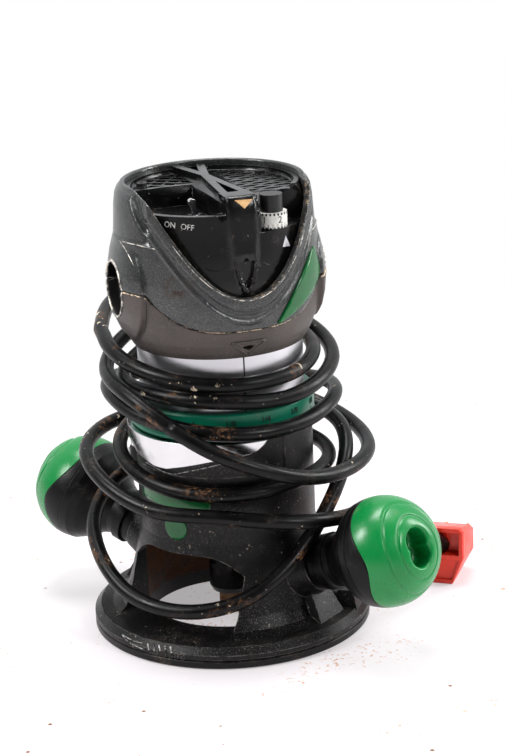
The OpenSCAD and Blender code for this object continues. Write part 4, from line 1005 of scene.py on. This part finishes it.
def make_grille():
    """The cover with its open fields cut anew, and slanting bars with cross bars in them."""
    mesh = frame["nodes"]["inner_cover"].data.copy()
    mesh.name = "cover_shell"
    mesh.materials.clear()
    welded = bmesh.new()
    welded.from_mesh(mesh)
    bmesh.ops.remove_doubles(welded, verts=welded.verts, dist=1e-6)
    welded.to_mesh(mesh)
    welded.free()
    obj = placed("cover_shell", mesh)
    fields = {"left": grille_field(-1), "right": grille_field(1)}
    cutter = placed("cutter_of_fields", joined("fields", [prism(o, 237, 243) for o in fields.values()]))
    cut = obj.modifiers.new("cut", "BOOLEAN")
    cut.operation = "DIFFERENCE"
    cut.solver = "EXACT"
    cut.object = cutter
    done = smoothed(evaluated(obj))
    bpy.data.objects.remove(obj)
    bpy.data.objects.remove(cutter)
    done.materials.clear()
    done.set_sharp_from_angle(angle=math.radians(24))
    cover = new_piece("cover_shell", done, "motor", "cover_black", ("inner_cover",))
    even = cover.modifiers.new("even", "WEIGHTED_NORMAL")
    even.mode = "FACE_AREA_WITH_ANGLE"
    even.keep_sharp = True
    for word_side, outline in fields.items():
        turn = GRILLE_TURN if word_side == "right" else 180 - GRILLE_TURN
        bars = bars_across(outline, turn, GRILLE_PITCH, 0.95, PLATE_TOP - 0.05)
        bars += bars_across(outline, turn + 90, GRILLE_PITCH, 0.8, PLATE_TOP - 0.4)
        new_piece("grille_bars_" + word_side, joined("grille_bars_" + word_side, bars), "motor", "cover_black")


make_grille()


# plates, marks and numbers
def fitted_reach(surface, spots, turn):
    """A smooth surface in angle and height that stands just over the surface below."""
    a = np.array([s[0] for s in spots])
    z = np.array([s[1] for s in spots])
    r = np.array([reach_at(surface, *s, turn) for s in spots])
    a0, z0 = a.mean(), z.mean()

    def terms(a, z):
        a, z = (a - a0) / 20, (z - z0) / 20
        return np.stack([np.ones_like(a), a, z, a * a, a * z, z * z], axis=-1)

    fit = np.linalg.lstsq(terms(a, z), r, rcond=None)[0]
    over = max(0.0, (r - terms(a, z) @ fit).max())
    return lambda a, z: float(terms(np.array(a), np.array(z)) @ fit) + over


def curved_plate(name, outline, surface, lift, thick, material, body, turn=0.0):
    """A plate bent over a surface, inside an outline of angles and heights."""
    flat = bmesh.new()
    verts = [flat.verts.new((a, z, 0)) for a, z in outline]
    flat.faces.new(verts)
    bmesh.ops.triangulate(flat, faces=flat.faces)
    for _ in range(3):
        long = [e for e in flat.edges if e.calc_length() > 2.2]
        if not long:
            break
        bmesh.ops.subdivide_edges(flat, edges=long, cuts=1)
        bmesh.ops.triangulate(flat, faces=flat.faces)
    reach = fitted_reach(surface, [(v.co.x, v.co.y) for v in flat.verts], turn)
    for v in flat.verts:
        v.co = polar(v.co.x, reach(v.co.x, v.co.y) + lift, v.co.y, turn)
    bmesh.ops.recalc_face_normals(flat, faces=flat.faces)
    if sum((f.normal.dot(f.calc_center_median() * Vector((1, 1, 0))) for f in flat.faces), 0.0) < 0:
        bmesh.ops.reverse_faces(flat, faces=flat.faces)
    mesh = bpy.data.meshes.new(name)
    flat.to_mesh(mesh)
    flat.free()
    obj = new_piece(name, smoothed(mesh), body, material)
    solid = obj.modifiers.new("thick", "SOLIDIFY")
    solid.thickness = thick * MM
    solid.offset = -1
    return obj


def rounded_outline(points, n=6):
    """A closed outline through some points, with a smooth curve between them."""
    count = len(points)
    out = []
    for i in range(count):
        out += curve_between(*(Vector(points[(i + k - 1) % count]) for k in range(4)), n)
    return [tuple(p) for p in out]


def block(name, front, back, body, material):
    """A flat form between two outlines of the same number of points."""
    k = len(front)
    faces = [tuple(range(k)), tuple(range(2 * k - 1, k - 1, -1))]
    faces += [(i, i + k, (i + 1) % k + k, (i + 1) % k) for i in range(k)]
    return new_piece(name, mesh_of(name, front + back, faces, False), body, material)


def flat_mark(name, pixels, surface, material, body, lift=0.15, thick=0.2):
    """A small flat mark whose corners the photograph shows at some pixels."""
    spots = [seen_at(surface, u, v) for u, v in pixels]
    normal = sum((n for _, n in spots), Vector()).normalized()
    tops = [p + n * lift * MM for p, n in spots]
    return block(name, tops, [p - normal * thick * MM for p in tops], body, material)


def raised_line(name, pixels, surface, r, material, body):
    """A thin moulded line through some pixels of the photograph."""
    path = smooth_path([seen_at(surface, u, v)[0] for u, v in pixels], 6)
    return tube(name, path, r * MM, material, body, 6)


# capitals' height over a font's size, the letters' thickness and how far a surface below them is looked for
CAPITAL = 0.7
LETTER_DEPTH = 0.12
SEARCH = 5


def word(name, text, height, centre, right, normal, material, body, surface=None):
    """Small lettering, flat, or laid on a surface."""
    data = bpy.data.curves.new(name, "FONT")
    data.body = text
    data.size = height * MM / CAPITAL
    data.extrude = LETTER_DEPTH * MM
    data.align_x = "CENTER"
    data.align_y = "CENTER"
    data.resolution_u = 3
    maker = placed(name, data)
    mesh = evaluated(maker)
    bpy.data.objects.remove(maker)
    normal = normal.normalized()
    right = (right - normal * right.dot(normal)).normalized()
    turn = Matrix((right, normal.cross(right), normal)).transposed().to_4x4()
    mesh.transform(Matrix.Translation(centre) @ turn)
    if surface:
        for v in mesh.vertices:
            above = (v.co - centre).dot(normal)
            hit = surface.ray_cast(v.co + normal * (SEARCH * MM - above), -normal, 2 * SEARCH * MM)[0]
            if hit:
                v.co = hit + normal * (above + 0.05 * MM)
    mesh.materials.clear()
    return new_piece(name, mesh, body, material)


def make_housing_plate():
    """Bare green plate on the right of the collar."""
    shell = surface_of("housing_upper_shell")
    leaf = [
        (50.3, 211.7), (55, 204.2), (57.5, 197.1), (51.5, 191.6), (42.6, 187.3), (32.3, 182.8), (23.3, 179.4),
        (17, 177.5), (22.2, 185), (27.8, 192.3), (34.2, 199.4), (40.6, 205.4),
    ]
    curved_plate("side_plate", rounded_outline(leaf, 4), shell, 0.35, 1.6, "green_plate", "motor", MOTOR_TURN)


def make_base_plates():
    """Bare green plates on the front of the base's collar."""
    base = surface_of("base_casting")
    label = [(-32, 78), (-20, 77.6), (0, 77.4), (26, 77.4), (26, 88.5), (0, 88.5), (-32, 88.5)]
    curved_plate("collar_plate", label, base, 0.25, 0.5, "green_plate", "base", 0)
    r, wide = 7, math.degrees(1 / 48)
    rounds = [2 * math.pi * k / 28 for k in range(28)]
    disc = [(1 + r * wide * math.cos(a), 66.5 + r * math.sin(a)) for a in rounds]
    curved_plate("round_plate", disc, base, 0.5, 0.9, "green_plate", "base", 0)


def make_base_marks():
    """Small ribs and a chevron cast on the ring's edge, painted bright as rubbed paint and painted highlight, and a
    painted highlight along the edge of the recess under the clamp lever.
    """
    base = surface_of("base_casting")
    lines = [("edge_rib_%d" % (k + 1), 0.55, [(148 + 5.6 * k + 0.5 * i, 644 + 0.7 * k + 3 * i) for i in range(3)])
             for k in range(5)]
    lines += [
        ("edge_chevron_top", 0.3, [(122, 634.5), (128, 638), (134, 641), (143, 643.5)]),
        ("edge_chevron_foot", 0.3, [(122, 634.5), (127, 640.5), (135, 645.5), (143, 649)]),
        # painted highlight along the lever recess's edge
        ("lever_recess_highlight", 0.3, [(146, 462), (158, 469), (172, 474), (188, 471.5), (205, 468), (222, 464)]),
    ]
    for name, r, pixels in lines:
        raised_line(name, pixels, base, r, "casting_wear_and_highlight", "base")


def on_motor(surface, angle, z, out=0.0):
    """A point over a surface at an angle and a height of the motor's frame."""
    return polar(angle, reach_at(surface, angle, z, MOTOR_TURN) + out, z, MOTOR_TURN)


def motor_line(name, path, r, material, sides=6):
    tube(name, path, r * MM, material, "motor", sides)


def panel_line(name, pixels, r, material, mirror=True):
    """A line on the left side panel as the photograph shows it, and its mirror image on the right one."""
    path = smooth_path([seen_at(SHELLS, u, v)[0] for u, v in pixels], 5)
    motor_line(name + "_left", path, r, material)
    if mirror:
        angles = [math.degrees(math.atan2(p.x, -p.y) - MOTOR_TURN) for p in path]
        mirrored = [on_motor(SHELLS, -((a + 180) % 360 - 180), p.z / MM) for a, p in zip(angles, path)]
        motor_line(name + "_right", mirrored, r, material)


def port_rim(side, word_side):
    """The bright edge round a brush port."""
    away = motor_point(side, 0, 0).normalized()
    path = []
    for k in range(97):
        a = 2 * math.pi * k / 96
        start = motor_point(side * 80, PORT_RIM * math.cos(a), BRUSH_Z + PORT_RIM * math.sin(a))
        path.append(SHELLS.ray_cast(start, -away)[0])
    motor_line("port_rim_" + word_side, path, 0.75, "rim_wear_and_highlight", 8)


def front_line(name, low, bend, half, radius, r, material):
    """A line across the front of the housing whose height grows away from the middle."""
    n = 48
    across = [-half + 2 * half * k / n for k in range(n + 1)]
    path = [on_motor(SHELLS, math.degrees(math.asin(x / radius)), low + bend(x), -0.05) for x in across]
    motor_line(name, path, r, material)


def make_side_panels():
    front_line("seam_chips", SEAM_LOW, lambda x: SEAM_RISE * (x / SEAM_HALF) ** 4, 32, 54, 0.28, "chips_and_highlight")
    front_line("opening_edge", OPENING_LOW - 0.7, lambda x: OPENING_BEND * x * x, 34, 53, 0.25, "rim_wear_and_highlight")
    # painted highlight along the crease, over rubbed paint
    panel_line("crease", [(121, 241), (130, 243.5), (139, 245.5), (148, 247.8), (155, 249.2)], 0.28, "rim_wear_and_highlight")
    # painted highlight along the upper part of the pod's edge
    panel_line("panel_edge_high", [(119, 240), (124.5, 248), (129.5, 257), (134, 266)], 0.3, "rim_wear_and_highlight", False)
    panel_line("panel_edge_low", [(134, 266), (138.5, 276), (142, 286), (145, 297)], 0.3, "mark_black", False)
    # chips along the seam under the port, with a painted highlight
    panel_line("panel_foot", [(122, 292.5), (130, 294.5), (138, 296.5), (145.5, 299)], 0.4, "chips_and_highlight")
    panel_line("panel_joint", [(146, 303), (146.5, 313), (146, 324), (144, 333)], 0.25, "mark_black", False)
    port_rim(-1, "left")
    port_rim(1, "right")


RING_R = 49.4
TICK_FOOT = 119.6
TICK_HALF = 0.35


def make_ring_scale():
    """Ticks and inch fractions round the depth ring."""
    numbers = ["1/8", "1/4", "3/8", "1/2", "5/8", "3/4", "7/8", "1"]
    for k in range(16):
        middle = 41 + 22.5 * k
        for j in range(4):
            a = middle - 5.6 * j
            tall = 3.4 if j == 0 else 1.6
            wide = math.degrees(TICK_HALF / RING_R)
            outline = [(-wide, 0), (wide, 0), (wide, tall), (-wide, tall)]
            front, back = ([polar(a + da, RING_R + out, TICK_FOOT + dz) for da, dz in outline] for out in (0.12, -0.1))
            block("ring_tick_%02d_%d" % (k, j), front, back, "depth_ring", "mark_black")
        centre = polar(middle, RING_R + 0.1, 126)
        out = Vector((centre.x, centre.y, 0)).normalized()
        right = Vector((0, 0, 1)).cross(out)
        word("ring_number_%02d" % k, numbers[k % 8], 3.2, centre, right, out, "mark_black", "depth_ring")


def make_cover_marks():
    cover = surface_of("inner_cover")
    flat_mark("front_triangle", [(234.5, 200.6), (252.5, 199.2), (244.5, 208.5)], cover, "wood_tan", "motor",
              0.55, 0.8)
    flat_mark("dial_pointer", [(285.5, 235.5), (290, 246), (282.5, 247)], cover, "mark_grey", "motor")
    for name, pixels in (("cover_line_left", [(205, 268), (212, 271), (220, 271), (227, 267)]),
                         ("cover_line_right", [(262, 262), (268, 264.5), (274, 263.5), (280, 258)])):
        raised_line(name, pixels, cover, 0.25, "cover_black", "motor")
    for name, text, first, last in (("switch_on", "ON", (163.5, 224), (176.5, 226)),
                                    ("switch_off", "OFF", (180, 226.5), (195, 228.5))):
        a, normal = seen_at(cover, *first)
        b, _ = seen_at(cover, *last)
        word(name, text, 2.9, (a + b) / 2, b - a, normal, "mark_white", "motor", cover)


DIAL_AT = (19, -39)
NOTCH_HALF = 0.06
DIAL_R = 8.0
DIGIT_Z = 230.4


def make_dial_marks():
    """Numbers and short ticks round the white ring."""
    hub = motor_point(*DIAL_AT, 0)
    away = Vector((CAMERA_PLACE.x, CAMERA_PLACE.y, 0)).normalized()
    start = math.atan2(away.y, away.x) - math.radians(29)

    def round_point(a, r, z):
        return Vector((hub.x + r * MM * math.cos(a), hub.y + r * MM * math.sin(a), z * MM))

    for k in range(6):
        a = start + math.radians(60) * k
        out = Vector((math.cos(a), math.sin(a), 0))
        word("dial_number_%d" % (k + 1), str(k + 1), 3.4, round_point(a, DIAL_R, DIGIT_Z),
             Vector((0, 0, 1)).cross(out), out, "mark_black", "speed_dial")
    for k in range(24):
        a = start + math.radians(15) * (k + 0.5)
        for low, high, row in ((232.7, 233.92, "top"), (225.9, 226.7, "foot")):
            outline = ((-NOTCH_HALF, low), (NOTCH_HALF, low), (NOTCH_HALF, high), (-NOTCH_HALF, high))
            front, back = ([round_point(a + da, r, z) for da, z in outline] for r in (DIAL_R + 0.06, DIAL_R - 0.1))
            block("dial_notch_%s_%02d" % (row, k), front, back, "speed_dial", "mark_black")


def make_lip_mark():
    """Raised rim round the index triangle on the lower housing."""
    shell = surface_of("housing_lower_shell")
    corners = [(-8.6, 169.6), (8.6, 169.6), (0, 161.8)]
    for k in range(3):
        p, q = corners[k], corners[(k + 1) % 3]
        path = []
        for i in range(9):
            t = i / 8
            x, z = p[0] + (q[0] - p[0]) * t, p[1] + (q[1] - p[1]) * t
            path.append(on_motor(shell, math.degrees(math.asin(x / 48)), z, 0.15))
        tube("lip_mark_%d" % k, path, 0.7 * MM, "housing_dusty", "motor", 8)


make_housing_plate()
make_base_plates()
make_base_marks()
make_side_panels()
make_ring_scale()
make_cover_marks()
make_dial_marks()
make_lip_mark()


# stage
FLOOR_HALF = 4.0
FLOOR_Z = -0.0004
FLOOR_GLOW = 0.45
FRONT_LEVEL = 0.1
BACK_LEVEL = 1.0
WHITE = (1, 1, 1, 1)


def make_stage():
    """A pale floor that keeps the object's shadow near it and turns to the white of the background further off."""
    m = Mat("floor", (240, 236, 238), rough=0.85, spec=0.2)
    tint(m, (5, 4), 0.4, 0.8, 0.35, (232, 222, 227))
    m.mix(m.both(m.ramp(m.noise(300, 4, 0.75), 0.57, 0.64), m.ramp(m.noise(16, 5, 0.65), 0.52, 0.62)), (206, 150, 108))
    m.mix(m.both(m.ramp(m.cells(90), 0.13, 0.08), m.ramp(m.noise(21, 2), 0.56, 0.6)), (140, 92, 62))
    m.done()
    _, behind, _ = m.axes(math.radians(VIEW_TURN))
    rays = m.node("ShaderNodeLightPath").outputs
    seen = m.maths("ADD", rays["Is Camera Ray"], rays["Is Glossy Ray"])
    seen = m.maths("ADD", seen, rays["Is Transmission Ray"])
    white = m.node("ShaderNodeMix", {"Factor": m.ramp(behind, -50, 450), "A": m.colour, "B": WHITE}, data_type="RGBA")
    glow = m.node("ShaderNodeEmission", {"Color": white.outputs["Result"], "Strength": 1.0})
    share = m.both(seen, m.ramp(behind, 60, 600, FLOOR_GLOW, 1.0))
    blend = m.node("ShaderNodeMixShader", {0: share, 1: m.bsdf.outputs[0], 2: glow.outputs[0]})
    m.t.links.new(blend.outputs[0], m.t.nodes["Material Output"].inputs["Surface"])
    mesh = bpy.data.meshes.new("floor")
    corners = [(x * FLOOR_HALF, y * FLOOR_HALF, FLOOR_Z) for x, y in ((-1, -1), (1, -1), (1, 1), (-1, 1))]
    mesh.from_pydata(corners, [], [(0, 1, 2, 3)])
    mesh.materials.append(m.m)
    placed("floor", mesh)


def make_world():
    """White all round to the camera, and for light a studio with its white wall behind the object."""
    world = bpy.data.worlds.new("world")
    bpy.context.scene.world = world
    world.use_nodes = True
    t = world.node_tree
    t.nodes.clear()
    rays = add_node(t, "ShaderNodeLightPath").outputs
    wall = VIEW_BACK * 0.9 + Vector((0, 0, 0.44))
    towards = add_node(t, "ShaderNodeVectorMath", {
        0: add_node(t, "ShaderNodeTexCoord").outputs["Generated"], 1: wall}, operation="DOT_PRODUCT")
    level = add_node(t, "ShaderNodeMapRange", {
        "Value": towards.outputs["Value"], "From Min": -0.1, "From Max": 0.65, "To Min": FRONT_LEVEL,
        "To Max": BACK_LEVEL}, interpolation_type="SMOOTHSTEP")
    lit = add_node(t, "ShaderNodeBackground", {"Color": (0.97, 0.985, 1, 1), "Strength": level.outputs["Result"]})
    plain = add_node(t, "ShaderNodeBackground", {"Color": WHITE, "Strength": 1.0})
    seen = add_node(t, "ShaderNodeMath", {0: rays["Is Camera Ray"], 1: rays["Is Transmission Ray"]},
                    operation="ADD", use_clamp=True)
    mix = add_node(t, "ShaderNodeMixShader", {0: seen.outputs[0], 1: lit.outputs[0], 2: plain.outputs[0]})
    add_node(t, "ShaderNodeOutputWorld", {"Surface": mix.outputs[0]})


def area(name, place, target, size, power):
    data = bpy.data.lights.new(name, "AREA")
    data.shape = "RECTANGLE"
    data.size, data.size_y = size
    data.energy = power
    obj = placed(name, data)
    obj.location = place
    obj.rotation_euler = (Vector(target) - Vector(place)).to_track_quat("-Z", "Y").to_euler()


def make_lamps():
    centre = Vector((0, 0, 0.14))
    for name, right, back, up, size, power in (
        ("left_key", -0.85, -0.35, 0.75, (0.3, 0.5), 11), ("right_key", 0.8, -0.75, 0.6, (0.2, 0.3), 5),
        ("side", 1.0, 0.12, 0.42, (0.22, 0.7), 9), ("top", 0, 0.2, 1.0, (0.6, 0.4), 11),
    ):
        area(name, centre + VIEW_RIGHT * right + VIEW_BACK * back + Vector((0, 0, up)), centre, size, power)


make_stage()
make_world()
make_lamps()
bpy.context.scene.view_settings.view_transform = "Standard"
